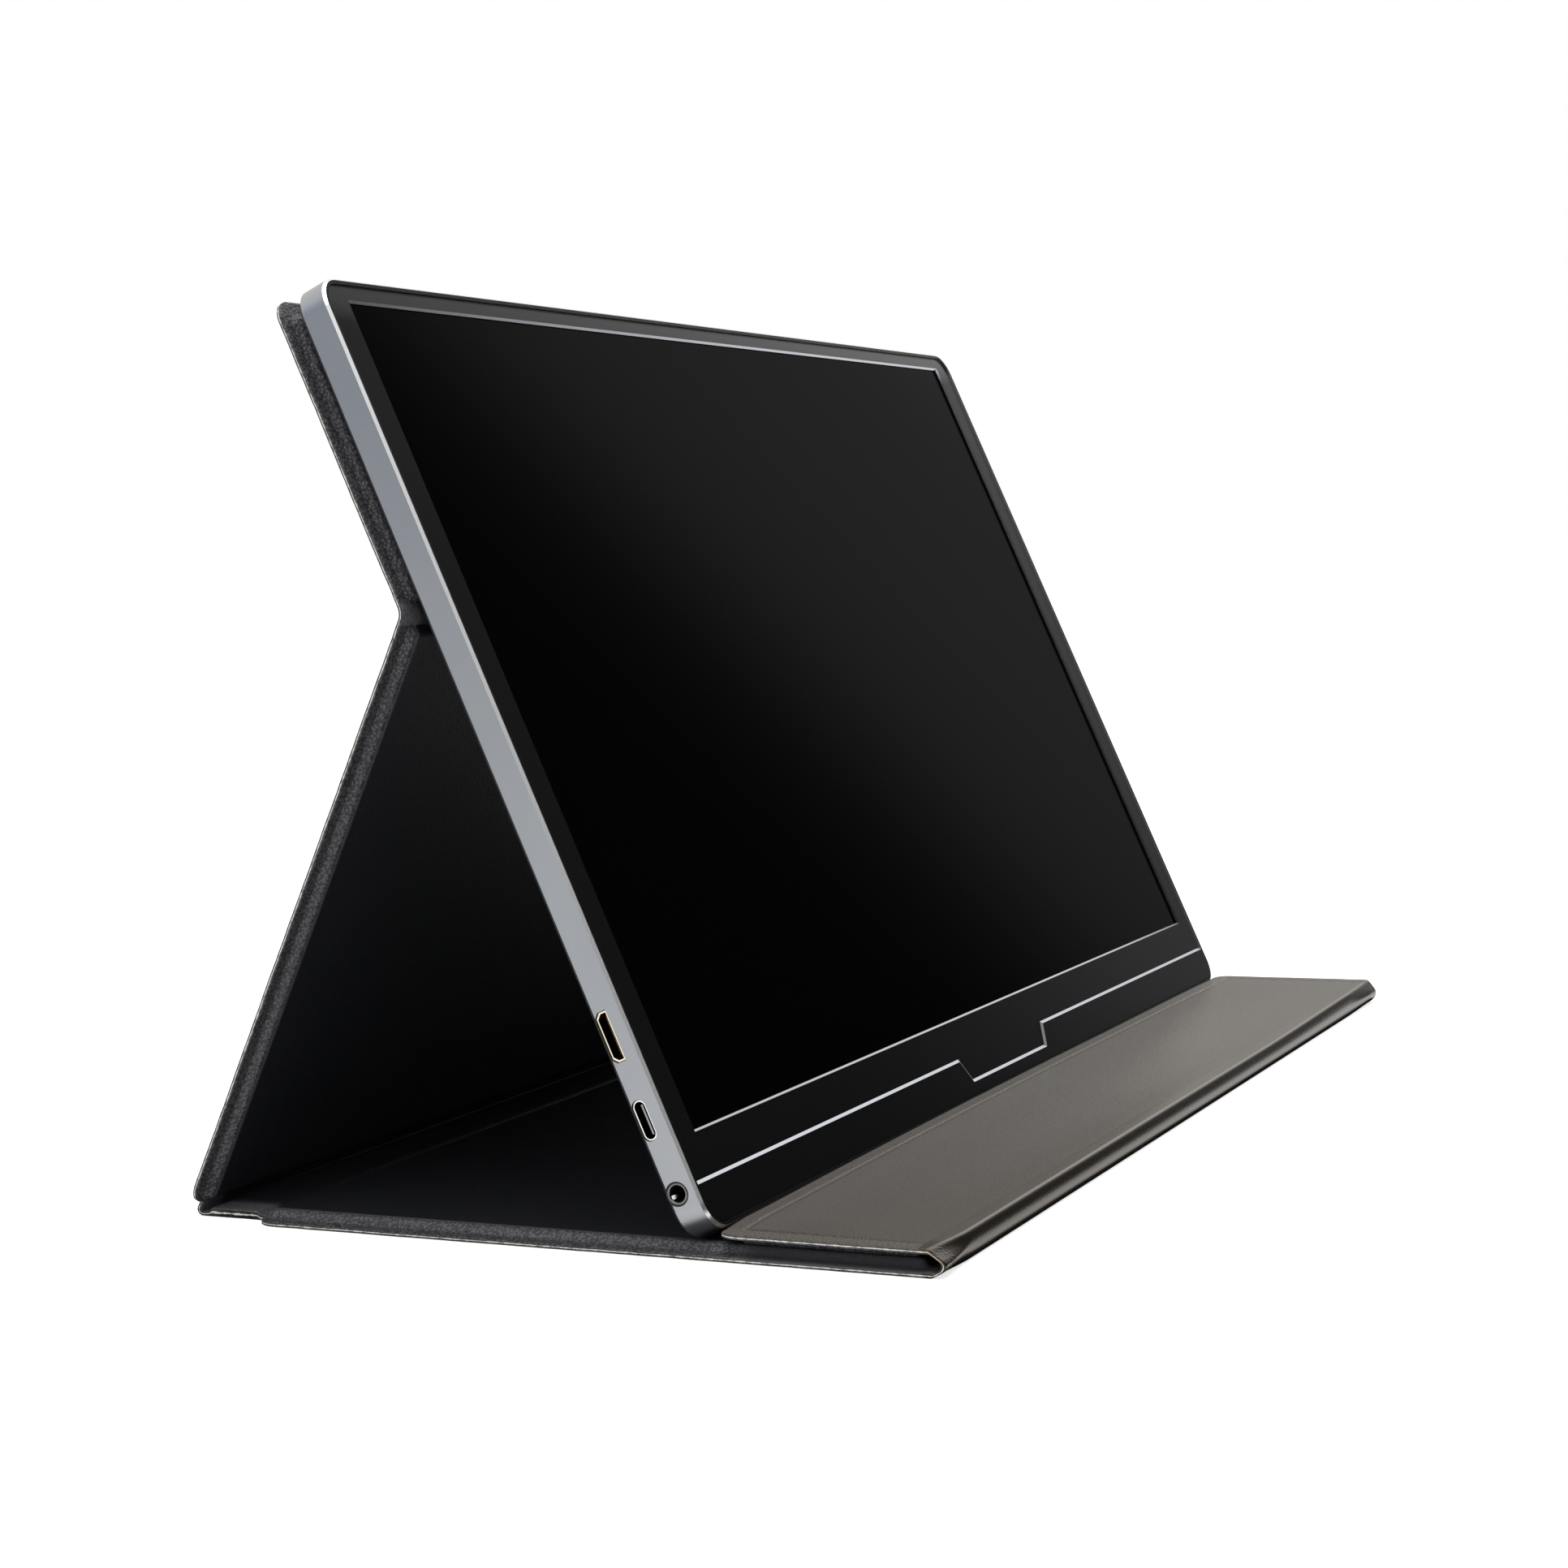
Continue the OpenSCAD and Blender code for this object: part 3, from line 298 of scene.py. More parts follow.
# Above the opening the moulding is crowned, and its face leans back by a few degrees
up = add(abs_black, "VectorMath", {0: place.outputs["Object"], 1: UP}, operation="DOT_PRODUCT")
brow = add(abs_black, "MapRange", {"Value": up.outputs["Value"], "From Min": BROW - 0.004,
                                   "From Max": BROW + 0.012}, interpolation_type="SMOOTHSTEP")
crown = add(abs_black, "Bump", {"Height": brow, "Strength": 1.0, "Distance": 0.0009}, invert=True)
grit = add(abs_black, "Bump", {"Height": spark.outputs["Fac"], "Strength": 0.15, "Distance": 0.00003,
                               "Normal": crown.outputs["Normal"]})
# The left slant of the chin's dip turns away from the light. A narrow pale band is painted along its arris as
# a painted highlight.
SLANT = Vector((STEP_H - DIP_H, SLANT_W * UP.y, SLANT_W * UP.z)).normalized()
across = add(abs_black, "VectorMath", {0: place.outputs["Object"], 1: SLANT}, operation="DOT_PRODUCT")
off = add(abs_black, "Math", {0: across.outputs["Value"], 1: SLANT.dot(DIP_END)}, operation="SUBTRACT")
gap = add(abs_black, "Math", {0: off}, operation="ABSOLUTE")
narrow = add(abs_black, "MapRange", {"Value": gap, "From Min": 0.00026, "From Max": 0.00034,
                                     "To Min": 1, "To Max": 0})
lowest = UP.dot(DIP_END)
above = add(abs_black, "Math", {0: up.outputs["Value"], 1: lowest}, operation="GREATER_THAN")
below = add(abs_black, "Math", {0: up.outputs["Value"], 1: lowest + (STEP_H - DIP_H) / 1000},
            operation="LESS_THAN")
side = add(abs_black, "SeparateXYZ", {0: place.outputs["Object"]})
at_left = add(abs_black, "Math", {0: side.outputs["X"], 1: -0.02}, operation="LESS_THAN")
span = add(abs_black, "Math", {0: above, 1: below}, operation="MULTIPLY")
here = add(abs_black, "Math", {0: span, 1: at_left}, operation="MULTIPLY")
painted_arris_glint = add(abs_black, "Math", {0: here, 1: narrow}, operation="MULTIPLY")
toned = add(abs_black, "Mix", {0: painted_arris_glint, 6: tone.outputs[2], 7: colour("#b4b4b7")}, data_type="RGBA")
join(abs_black, toned.outputs[2], skin, "Base Color")
join(abs_black, gloss, skin, "Roughness")
join(abs_black, grit.outputs["Normal"], skin, "Normal")
join(abs_black, painted_bevel_shine, skin, "Metallic")
wear(abs_black, "front_bezel", "chin_plate")

# ---- Sockets and keys ----
# Stamped and plated socket shells stand in cut-outs in the sides, each round a tongue.
# The headphone jack is black moulded nylon with a dark nickel ring pressed into its mouth
# and a sprung contact in its bore. The keys are anodised like the case.


def on_case(x, u, v):
    """A point u mm up the case from its front lower edge and v mm behind its front, on the stand."""
    return (x, FOOT_Y + u * math.sin(TILT) + v * math.cos(TILT),
            FOOT_Z + u * math.cos(TILT) - v * math.sin(TILT))


# The tongues stand in the middle of their mouths, 5.3 mm behind the front
PORT_V = FRONT.dot(Vector(on_case(0, 30, 5.3))) / 1000


def paint_mouth_shading(made, skin, tint, inside, tongue_highlight):
    """Keeps a socket's own colour on the rim of its mouth, and paints its depth dark as painted shade, with a
    lighter band along the tongue's middle as a painted highlight.
    """
    place = add(made, "TexCoord")
    across = add(made, "SeparateXYZ", {0: place.outputs["Normal"]})
    rim = add(made, "Math", {0: across.outputs["X"]}, operation="ABSOLUTE")
    spot = add(made, "SeparateXYZ", {0: place.outputs["Object"]})
    out = add(made, "Math", {0: spot.outputs["X"]}, operation="ABSOLUTE")
    front_face = add(made, "Math", {0: rim, 1: 0.5}, operation="GREATER_THAN")
    at_mouth = add(made, "Math", {0: out, 1: (CASE_X - 0.65) / 1000}, operation="GREATER_THAN")
    lip = add(made, "Math", {0: front_face, 1: at_mouth}, operation="MULTIPLY")
    ahead = add(made, "VectorMath", {0: place.outputs["Object"], 1: FRONT}, operation="DOT_PRODUCT")
    off = add(made, "Math", {0: ahead.outputs["Value"], 1: PORT_V}, operation="SUBTRACT")
    size = add(made, "Math", {0: off}, operation="ABSOLUTE")
    # A band 0.4 mm wide along the tongue's middle is painted lighter, as a painted highlight
    tongue_band = add(made, "Math", {0: size, 1: 0.0002}, operation="LESS_THAN")
    painted_shading = add(made, "Mix", {0: tongue_band, 6: colour(inside), 7: colour(tongue_highlight)}, data_type="RGBA")
    shown = add(made, "Mix", {0: lip, 6: painted_shading.outputs[2], 7: tint.outputs[2]}, data_type="RGBA")
    join(made, shown.outputs[2], skin, "Base Color")


# Black nylon has a quiet gloss, broken by a fine moulded grain
nylon, *_ = surface("moulded_black_nylon", "#0b0b0c", "#151516", 0.5, (0.3, 0.4), bump=0.005)
wear(nylon, "headphone_jack")
# Tin plate shines a little blurred. Deeper in its mouth it is painted dark, as painted shade.
plated, skin, place, tint = surface("tin_plated_steel", "#d2d1ce", "#e4e3df", 0.8, (0.16, 0.26), metallic=1)
paint_mouth_shading(plated, skin, tint, "#141414", "#8c8c90")
wear(plated, "data_socket", "power_socket")
# A thin flash of gold leaves the brass pale and silky
brass, skin, place, tint = surface("gold_flashed_brass", "#d9cdb4", "#e9dfc9", 0.8, (0.2, 0.3), metallic=1)
# Deeper in its mouth the brass is painted dark brown, as painted shade, with a painted highlight along the
# tongue
paint_mouth_shading(brass, skin, tint, "#3a2f1c", "#4a3c26")
wear(brass, "video_socket")
wear(blasted, "power_button", "menu_rocker")


def solid(name, points, faces, sharp):
    """A new closed piece from points in mm, smooth but for the edges sharper than that angle."""
    mesh = bpy.data.meshes.new(name)
    mesh.from_pydata([[c / 1000 for c in p] for p in points], [], faces)
    work = bmesh.new()
    work.from_mesh(mesh)
    bmesh.ops.recalc_face_normals(work, faces=work.faces)
    work.to_mesh(mesh)
    work.free()
    mesh.shade_smooth()
    mesh.set_sharp_from_angle(angle=math.radians(sharp))
    piece = bpy.data.objects.new(name, mesh)
    bpy.context.scene.collection.objects.link(piece)
    return piece


# The ring is turned from one profile of radius and depth, and seated in the case's recess
JACK_U, JACK_V = 10.6, 4.8
PROFILE = ((2.67, 0.39), (2.67, 0.2), (2.5, 0.2), (2.42, 0.3), (2.38, 0.16), (2.28, 0.08), (2.1, 0.06),
           (1.96, 0.1), (1.86, 0.22), (1.81, 0.39))
TURNS = 64
points, faces = [], []
for k in range(TURNS):
    a = 2 * math.pi * k / TURNS
    points += [on_case(d - CASE_X, JACK_U + r * math.cos(a), JACK_V + r * math.sin(a)) for r, d in PROFILE]
n = len(PROFILE)
for k in range(TURNS):
    for i in range(n):
        j, after = (i + 1) % n, (k + 1) % TURNS * n
        faces.append((k * n + i, k * n + j, after + j, after + i))
ring = solid("jack_ring", points, faces, 50)
# Black nickel is a smoky, satin mirror
nickel, *_ = surface("black_nickel_plate", "#6a6867", "#7a7876", 0.5, (0.28, 0.38), metallic=1)
ring.data.materials.append(nylon)
ring.data.materials.append(nickel)
for index, face in enumerate(ring.data.polygons):
    face.material_index = 1 if 3 <= index % n <= 8 else 0
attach(ring, "display")

# The contact is a narrow leaf of sprung strip that bows into the bore from its rear wall
LEAF = ((-0.42, 0.05), (0.42, 0.05), (0.42, 0.0), (0.25, -0.09), (-0.25, -0.09), (-0.42, 0.0))
LEAF_LEN, LEAF_BOW, STEPS = 2.6, 0.75, 8
points, faces, n = [], [], len(LEAF)
for k in range(STEPS + 1):
    t = k / STEPS
    middle = JACK_V + 1.66 - LEAF_BOW * math.sin(math.pi * t ** 0.6)
    points += [on_case(0.5 - CASE_X + LEAF_LEN * t, JACK_U - 0.35 + w, middle + h) for w, h in LEAF]
for a in range(0, STEPS * n, n):
    faces += [(a + i, a + (i + 1) % n, a + n + (i + 1) % n, a + n + i) for i in range(n)]
faces += [tuple(range(n)), tuple(range(STEPS * n + n - 1, STEPS * n - 1, -1))]
contact = solid("jack_contact", points, faces, 60)
# Tinned bronze is brighter and whiter than the ring round it
spring, *_ = surface("tinned_spring_bronze", "#e4e2dc", "#f4f3ef", 0.8, (0.34, 0.44), metallic=1)
contact.data.materials.append(spring)
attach(contact, "display")

# ---- Cover: shared make-up ----
# Every panel is a sheet of embossed artificial leather outside and another one inside,
# glued together round a stiff board. Past the board's edge the two are pressed into a
# flat margin and cut through, so the cut shows pale backing between two black skins.
COVER_W, SKIN, THICK, CORNER_R = 368.4, 0.6, 3.0, 5.0
# How far in from an edge the two skins part, and how much farther they reach the board's face
FREE_RAMP, FOLD_RAMP = (3.1, 1.9), (0.4, 1.8)
MARGIN = sum(FREE_RAMP)
FOLD_FACES = (0.03, 1.2)  # heights of the outer and the inner face where only the skins are left
EDGE = (0, 0.12, 0.4, 1.0, 1.7, 2.4, 3.0, 3.5, 4.0, 4.4, 4.7, 5.0, 5.3, 5.8, 6.6, 8.0)


def ease(t):
    """0 up to 0, 1 from 1 on, and a soft step between."""
    t = np.clip(t, 0, 1)
    return t * t * (3 - 2 * t)


def stations(length, step=2.2):
    """Distances along a side, closer together near both of its ends."""
    ends = [e for e in EDGE if e < length / 2 - 1]
    count = max(2, round((length - 2 * ends[-1]) / step))
    middle = np.linspace(ends[-1], length - ends[-1], count + 1)[1:-1]
    return np.concatenate([ends, middle, length - np.array(ends[::-1])])


def ripple(a, b, long, seed):
    """A smooth unevenness between -1 and 1 over a sheet, about `long` mm from crest to crest."""
    total = 0
    for k in range(5):
        turn, size = 2.399 * k + seed, long * (0.75 + 0.13 * k)
        total = total + np.sin(2 * np.pi * (a * np.cos(turn) + b * np.sin(turn)) / size + 1.7 * seed + k)
    return total / 5


def panel(q0, q1, ends, seed, lift=lambda x, q: 0 * x, sag=0.05):
    """The two skins of a panel from q0 to q1, as grids of x, q and height above the outer face.

    ends tells for each end whether it is a "free" edge, a "fold" or a fold with "round" corners.
    lift gives how far the leather stands proud of the board, and the margin with it. sag is how
    far each skin is uneven over the board.
    """
    xs, qs = stations(COVER_W), stations(q1 - q0)
    side = np.minimum(xs, COVER_W - xs)[:, None] + 0 * qs
    x = (xs - COVER_W / 2)[:, None] + 0 * qs
    q = q0 + qs + 0 * x
    free, rise = side.copy(), ease((side - FREE_RAMP[0]) / FREE_RAMP[1])
    for end, kind in ((0, ends[0]), (1, ends[1])):
        reach = qs + 0 * x if end == 0 else (q1 - q0) - qs + 0 * x
        a, b = CORNER_R - side, CORNER_R - reach
        corner = (a > 0) & (b > 0)
        if kind != "fold":
            # The grid's square corner is bent into quarter circles round its own centre
            far = np.maximum(a, b)
            low = np.minimum(a, b) / np.where(corner, far, 1)
            turn = np.where(a >= b, np.pi / 4 * low, np.pi / 2 - np.pi / 4 * low)
            x = np.where(corner, np.sign(x) * (COVER_W / 2 - CORNER_R + far * np.cos(turn)), x)
            middle = q0 + CORNER_R if end == 0 else q1 - CORNER_R
            q = np.where(corner, middle + (2 * end - 1) * far * np.sin(turn), q)
            free = np.where(corner, np.minimum(side, reach), free)
        if kind == "free":
            free = np.minimum(free, reach)
        start, slope = FREE_RAMP if kind == "free" else FOLD_RAMP
        rise = rise * ease((reach - start) / slope)
    edge = 0.15 * (1 - np.sqrt(np.clip(free / 0.4, 0, 1)))
    loose = lift(x, q)
    slack = loose * (1 - ease((free - 2.6) / 2.2))
    groove = 0.24 * np.exp(-((free - MARGIN + 0.15) / 0.35) ** 2)
    uneven = ripple(x, q, 46, seed) * sag * ease((free - MARGIN) / 6)
    frayed = (ripple(x, q, 6, seed + 1) + ripple(x, q, 17, seed + 2) - 0.7) * 0.13 * (1 - ease(free / 1.2))
    x = x + np.sign(x) * frayed * (side <= free + 1e-6)
    outer = (x, q, edge + groove + 0.05 + uneven - loose)
    glue = (x, q, SKIN - slack)
    face = 2 * SKIN + (THICK - 2 * SKIN) * rise
    board = np.where(rise > 0.86, 2.42, SKIN + 0.01)
    under = (x, q, np.maximum(face - SKIN, board) - slack)
    inner = (x, q, face - edge - 0.03 - abs(uneven) * 0.8 - slack)
    return {"outer": (outer, glue), "lining": (inner, under), "margin": 1 - ease((free - MARGIN + 0.1) / 1.4)}


def shell(name, layers, cores, place, margin):
    """A closed sheet between its first and last grid, with a cut edge through the grids between.

    Its faces carry 1 as skin on the last grid. Its points carry the share of bare core that the
    edge shows, and as rim how far they lie on the pressed margin.
    """
    n, m = layers[0][0].shape
    ring = [(i, 0) for i in range(n)] + [(n - 1, j) for j in range(1, m)]
    ring += [(i, m - 1) for i in range(n - 2, -1, -1)] + [(0, j) for j in range(m - 2, 0, -1)]
    points, faces, rims, core_at, rim_at = [], [], [], [], []
    for k, layer in enumerate(layers):
        whole = k in (0, len(layers) - 1)
        keys = [(i, j) for i in range(n) for j in range(m)] if whole else ring
        index = {key: len(points) + t for t, key in enumerate(keys)}
        points += [place(*(float(part[key]) for part in layer)) for key in keys]
        core_at += [cores[k]] * len(keys)
        rim_at += [float(margin[key]) for key in keys]
        rims.append([index[key] for key in ring])
        if whole:
            for i in range(n - 1):
                for j in range(m - 1):
                    quad = [index[(i, j)], index[(i + 1, j)], index[(i + 1, j + 1)], index[(i, j + 1)]]
                    faces.append(quad if k == 0 else quad[::-1])
    for low, high in zip(rims, rims[1:]):
        for t in range(len(ring)):
            faces.append([low[t - 1], high[t - 1], high[t], low[t]])
    piece = solid(name, points, faces, 38)
    each = (n - 1) * (m - 1)
    inside = [0] * each + [1] * each + [0] * (len(faces) - 2 * each)
    for mark, kind, on, values in (("skin", "INT", "FACE", inside), ("core", "FLOAT", "POINT", core_at),
                                   ("rim", "FLOAT", "POINT", rim_at)):
        piece.data.attributes.new(mark, kind, on).data.foreach_set("value", values)
    return piece


def band(name, outer, inner, half, place=lambda x, y, z: (x, y, z)):
    """A strip of both skins along two lines of (y, z) points, cut off square at both sides."""
    xs = stations(2 * half) - half
    side = (half - abs(xs))[:, None]
    grids, drop = [], 0.15 * (1 - np.sqrt(np.clip(side / 0.4, 0, 1)))
    out, back = np.array(outer, float), np.array(inner, float)
    for share in (drop / 1.2, 0.5 + 0 * drop, 1 - drop / 1.2):
        y = out[:, 0] * (1 - share) + back[:, 0] * share
        z = out[:, 1] * (1 - share) + back[:, 1] * share
        x = xs[:, None] + 0 * y
        frayed = ripple(x, y + 2 * z, 6, 3) + ripple(x, y + 2 * z, 11, 4) - 0.7
        x = x + np.sign(x) * frayed * 0.13 * (1 - ease(side / 1.2))
        grids.append((x, y, z))
    return shell(name, grids, (0, 1, 0), place, 0.5 * (1 - ease((side - 4) / 5)) + 0 * grids[0][0])


def leather(name, face, margin, grain, rough, depth):
    """Embossed artificial leather, with pebbles of that grain in mm.

    face is its dark and its light colour. margin is the colour of the pressed margin, painted paler
    partly as rubbing and partly as painted highlight; of a painted line along the board's edge, which
    is a painted highlight where it is lighter and painted shade where it is darker; and of the painted
    shade in the pits. rough goes from the pebbles' tops to the pits, and depth is the grain's strength
    over the board and on the margin.
    """
    made, skin = finish(name)
    place = add(made, "TexCoord")
    rim = add(made, "Attribute", attribute_name="rim")
    core = add(made, "Attribute", attribute_name="core")
    bend = add(made, "TexNoise", {"Vector": place.outputs["Object"], "Scale": 900, "Detail": 1})
    push = add(made, "VectorMath", {0: bend.outputs["Color"], 3: 0.00035}, operation="SCALE")
    warped = add(made, "VectorMath", {0: place.outputs["Object"], 1: push}, operation="ADD")
    pebble = add(made, "TexVoronoi", {"Vector": warped, "Scale": 1000 / grain, "Smoothness": 0.35},
                 feature="SMOOTH_F1")
    pore = add(made, "TexNoise", {"Vector": place.outputs["Object"], "Scale": 4200, "Detail": 2})
    height = add(made, "Math", {0: pebble.outputs["Distance"], 1: -1.0, 2: 1.0}, operation="MULTIPLY_ADD")
    relief = add(made, "Math", {0: pore.outputs["Fac"], 1: 0.25, 2: height}, operation="MULTIPLY_ADD")
    press = add(made, "MapRange", {"Value": rim.outputs["Fac"], "To Min": depth[0], "To Max": depth[1]})
    bump = add(made, "Bump", {"Height": relief, "Strength": press, "Distance": 0.0003})
    mottle = add(made, "TexNoise", {"Vector": place.outputs["Object"], "Scale": 32, "Detail": 3})
    worn = add(made, "Mix", {0: mottle.outputs["Fac"], 6: colour(face[0]), 7: colour(face[1])},
               data_type="RGBA")
    # The pits between the pebbles are painted darker, as painted shade
    pit = add(made, "MapRange", {"Value": pebble.outputs["Distance"], "From Min": 0.28, "From Max": 0.6,
                                 "To Max": 0.9})
    painted_shade = add(made, "Math", {0: pit, 1: press}, operation="MULTIPLY")
    # The pressed margin is painted paler, partly as rubbing and partly as painted highlight
    edge = add(made, "Mix", {0: rim.outputs["Fac"], 6: worn.outputs[2], 7: colour(margin[0])},
               data_type="RGBA")
    # The rim value falls from 1 to 0 over the board's edge, where a line is painted: lighter on the lining,
    # as painted highlight where the slope faces the light, and darker on the hide, as painted shade
    away = add(made, "Math", {0: 1.0, 1: rim.outputs["Fac"]}, operation="SUBTRACT")
    painted_ridge_tone = add(made, "Math", {0: away, 1: rim.outputs["Fac"]}, operation="MULTIPLY")
    crown = add(made, "Math", {0: painted_ridge_tone, 1: 3.2}, operation="MULTIPLY")
    edge = add(made, "Mix", {0: crown, 6: edge.outputs[2], 7: colour(margin[1])}, data_type="RGBA")
    tops = add(made, "Mix", {0: painted_shade, 6: edge.outputs[2], 7: colour(margin[2])}, data_type="RGBA")
    # Where the edge is cut through, the pale backing shows in rags of a millimetre or two
    fray = add(made, "TexNoise", {"Vector": place.outputs["Object"], "Scale": 700, "Detail": 3})
    torn = add(made, "Math", {0: fray.outputs["Fac"], 1: -0.84, 2: 1.18}, operation="MULTIPLY_ADD")
    open_cut = add(made, "Math", {0: core.outputs["Fac"], 1: torn}, operation="GREATER_THAN")
    cut = add(made, "Mix", {0: open_cut, 6: tops.outputs[2], 7: colour("#f1efea")}, data_type="RGBA")
    shine = add(made, "MapRange", {"Value": relief, "To Min": rough[1], "To Max": rough[0]})
    join(made, cut.outputs[2], skin, "Base Color")
    join(made, shine, skin, "Roughness")
    join(made, bump.outputs["Normal"], skin, "Normal")
    return made


# The outer hide is a warm charcoal with pebbles of about 0.6 mm. The lining is a cooler black
# with pebbles of 0.7 mm, pressed almost flat over the board. Both are painted paler on their
# margins, partly as rubbing and partly as painted highlight, and painted darker in their pits as
# painted shade. Along the board's edge the hide has a painted shade line and the lining a painted highlight.
HIDE_GRAIN, HIDE_MARGIN = 0.6, ("#4b4741", "#211f1c", "#1d1b18")
hide = leather("embossed_charcoal_leather", ("#2c2926", "#35312d"), HIDE_MARGIN, HIDE_GRAIN,
               rough=(0.22, 0.3), depth=(0.1, 0.45))
wrap = leather("embossed_black_lining", ("#16171b", "#1e1f24"), ("#605f63", "#727175", "#0e0e10"), 0.68,
               rough=(0.4, 0.52), depth=(0.1, 0.8))
# A thin wax on the hide gives it a warm bloom at low angles
skin = hide.node_tree.nodes["Principled BSDF"]
for socket, value in (("Sheen Weight", 0.3), ("Sheen Roughness", 0.4), ("Sheen Tint", colour("#fff0de")),
                      ("Specular Tint", colour("#fffaf2"))):
    skin.inputs[socket].default_value = value

# Greyboard, a pressed sheet of waste paper with short fibres and flecks, fills every panel
greyboard, *_ = surface("pressed_greyboard", "#7c6f5a", "#958770", 0.7, (0.85, 0.95), bump=0.03, detail=6)
wear(greyboard, "upper_board", "leg_board", "base_board", "stop_board", "spine_board")
# The plating over the pressed magnets shines with a slight ripple
magnet, *_ = surface("nickel_plated_magnet", "#aeb0b2", "#c4c5c6", 1.2, (0.15, 0.25), metallic=1)
wear(magnet, "upper_magnets", "base_magnets", "stop_magnets")


def dress(piece, made, body=None, within=None):
    """Gives a cover piece its leather, another one on its inner face if it has both, and its body."""
    piece.data.materials.append(made)
    if within:
        piece.data.materials.append(within)
        for face in piece.data.polygons:
            face.material_index = piece.data.attributes["skin"].data[face.index].value
    if body:
        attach(piece, body)


def make_up(name, body, skins, place, lining_margin=None):
    """Makes a panel's outer leather and its lining, in place of its two plain solids."""
    margin = skins["margin"] if lining_margin is None else lining_margin
    outer = shell(name + "_outer_leather", skins["outer"], (0, 1), place, skins["margin"])
    lining = shell(name + "_lining_leather", skins["lining"], (0, 1), place, margin)
    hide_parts(name + "_leather")
    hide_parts(name + "_lining")
    dress(outer, hide, body)
    dress(lining, wrap, body)


# ---- Cover: base panel ----
# The panel that lies on the table, with a narrow spine behind it that holds a thin
# stiffener of its own. Three magnets under its lining catch the stop panel's.
SPINE_W, STOP_LEN = 18.8, 46.0
REAR_Y, REAR_Z, FRONT_Y = JOINT["leg_fold"].y, JOINT["leg_fold"].z, JOINT["stop_fold"].y
# The front roll takes 4.25 mm between its axis and the base panel, and 5.45 mm to the stop panel
BASE_FRONT, BASE_REAR = FRONT_Y + 4.25, REAR_Y - SPINE_W
STOP_FRONT = FRONT_Y + 5.45
STOP_REAR = STOP_FRONT + STOP_LEN


def on_base(x, y, z):
    """The base panel lies as it is drawn."""
    return (x, y, z)


skins = panel(BASE_FRONT, BASE_REAR, ("fold", "round"), 0.4, sag=0.16)
# Where the stop panel lies over the base, most of the lining's paler margin is taken away, as painted shade
# inside the fold
shaded_under_stop = ease((STOP_REAR - 1.45 - skins["lining"][0][1]) / 6)
make_up("base", "base", skins, on_base, skins["margin"] * (1 - 0.85 * shaded_under_stop))

# The spine's lining rises over its stiffener, which is 12 mm wide and 0.9 mm thick
SPINE_HALF, STIFF_T = 179.2, 0.9
STIFF_Y = (BASE_REAR + 2.6, BASE_REAR + 14.6)
OUT_Z, IN_Z = FOLD_FACES
ys = [BASE_REAR - 0.2, BASE_REAR + 0.6] + [STIFF_Y[0] + d for d in (-1.2, -0.6, -0.2, 0.6)]
ys += list(np.linspace(STIFF_Y[0] + 1.6, STIFF_Y[1] - 1.6, 5))
ys += [STIFF_Y[1] + d for d in (-0.6, 0.2, 0.7, 1.2)] + [REAR_Y - 2.5]
raised = [IN_Z + STIFF_T * float(ease((y - STIFF_Y[0] + 1.3) / 1.2) * ease((STIFF_Y[1] + 1.3 - y) / 1.2))
          for y in ys]
spine = band("spine_leather", [(y, OUT_Z) for y in ys], list(zip(ys, raised)), SPINE_HALF)
dress(spine, hide, "base", within=wrap)

# ---- Cover: leg panel ----
# The panel that leans up from the rear fold and props the display from behind. It is one
# board between the two leathers, which run on over both of its folds without a seam.
REAR_GAP, BACK_GAP = 3.4, 1.9  # mm that a panel keeps from the rear fold and from the back fold
LEG_LEN = (JOINT["back_fold"] - JOINT["leg_fold"]).length
LEAN = math.atan2(REAR_Y - JOINT["back_fold"].y, JOINT["back_fold"].z - REAR_Z)


def on_leg(x, s, z):
    """A point s mm up the leg from the rear fold and z mm in from its outer face, on the stand."""
    return (x, REAR_Y - s * math.sin(LEAN) - (z - SKIN) * math.cos(LEAN),
            REAR_Z + s * math.cos(LEAN) - (z - SKIN) * math.sin(LEAN))


make_up("leg", "leg", panel(REAR_GAP, LEG_LEN - BACK_GAP, ("round", "fold"), 1.3), on_leg)

# The rear fold is both skins bent sharply where the spine turns up into the leg
TURN, BEND_R, SKIN_HALF = math.pi / 2 + LEAN, 0.9, 0.57
TANGENT = BEND_R * math.tan(TURN / 2)
outer, inner = ([(REAR_Y - d, z) for d in (2.6, 2.0)] for z in FOLD_FACES)
for k in range(13):
    a = -math.pi / 2 + TURN * k / 12
    for line, r in ((outer, BEND_R + SKIN_HALF), (inner, BEND_R - SKIN_HALF)):
        line.append((REAR_Y - TANGENT + r * math.cos(a), REAR_Z + BEND_R + r * math.sin(a)))
for line, z in ((outer, OUT_Z), (inner, IN_Z)):
    line += [on_leg(0, s, z)[1:] for s in (2.2, 3.0, 3.6)]
rear_strip = band("rear_fold_leather", outer, inner, SPINE_HALF)
dress(rear_strip, hide, within=wrap)
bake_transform(rear_strip)

# ---- Cover: upper panel ----
# The short panel behind the display. It is made up as the leg panel is, and four magnets in
# its board hold it to the steel plates inside the case.
CASE_H = 222.5


def on_display(x, u, z):
    """A point u mm up the case from its foot and z mm in from the panel's outer face, on the stand."""
    return on_case(x, u, AXIS_V + SKIN - z)


make_up("upper", "display", panel(FOLD_U + BACK_GAP, CASE_H - 0.3, ("fold", "free"), 2.2), on_display)

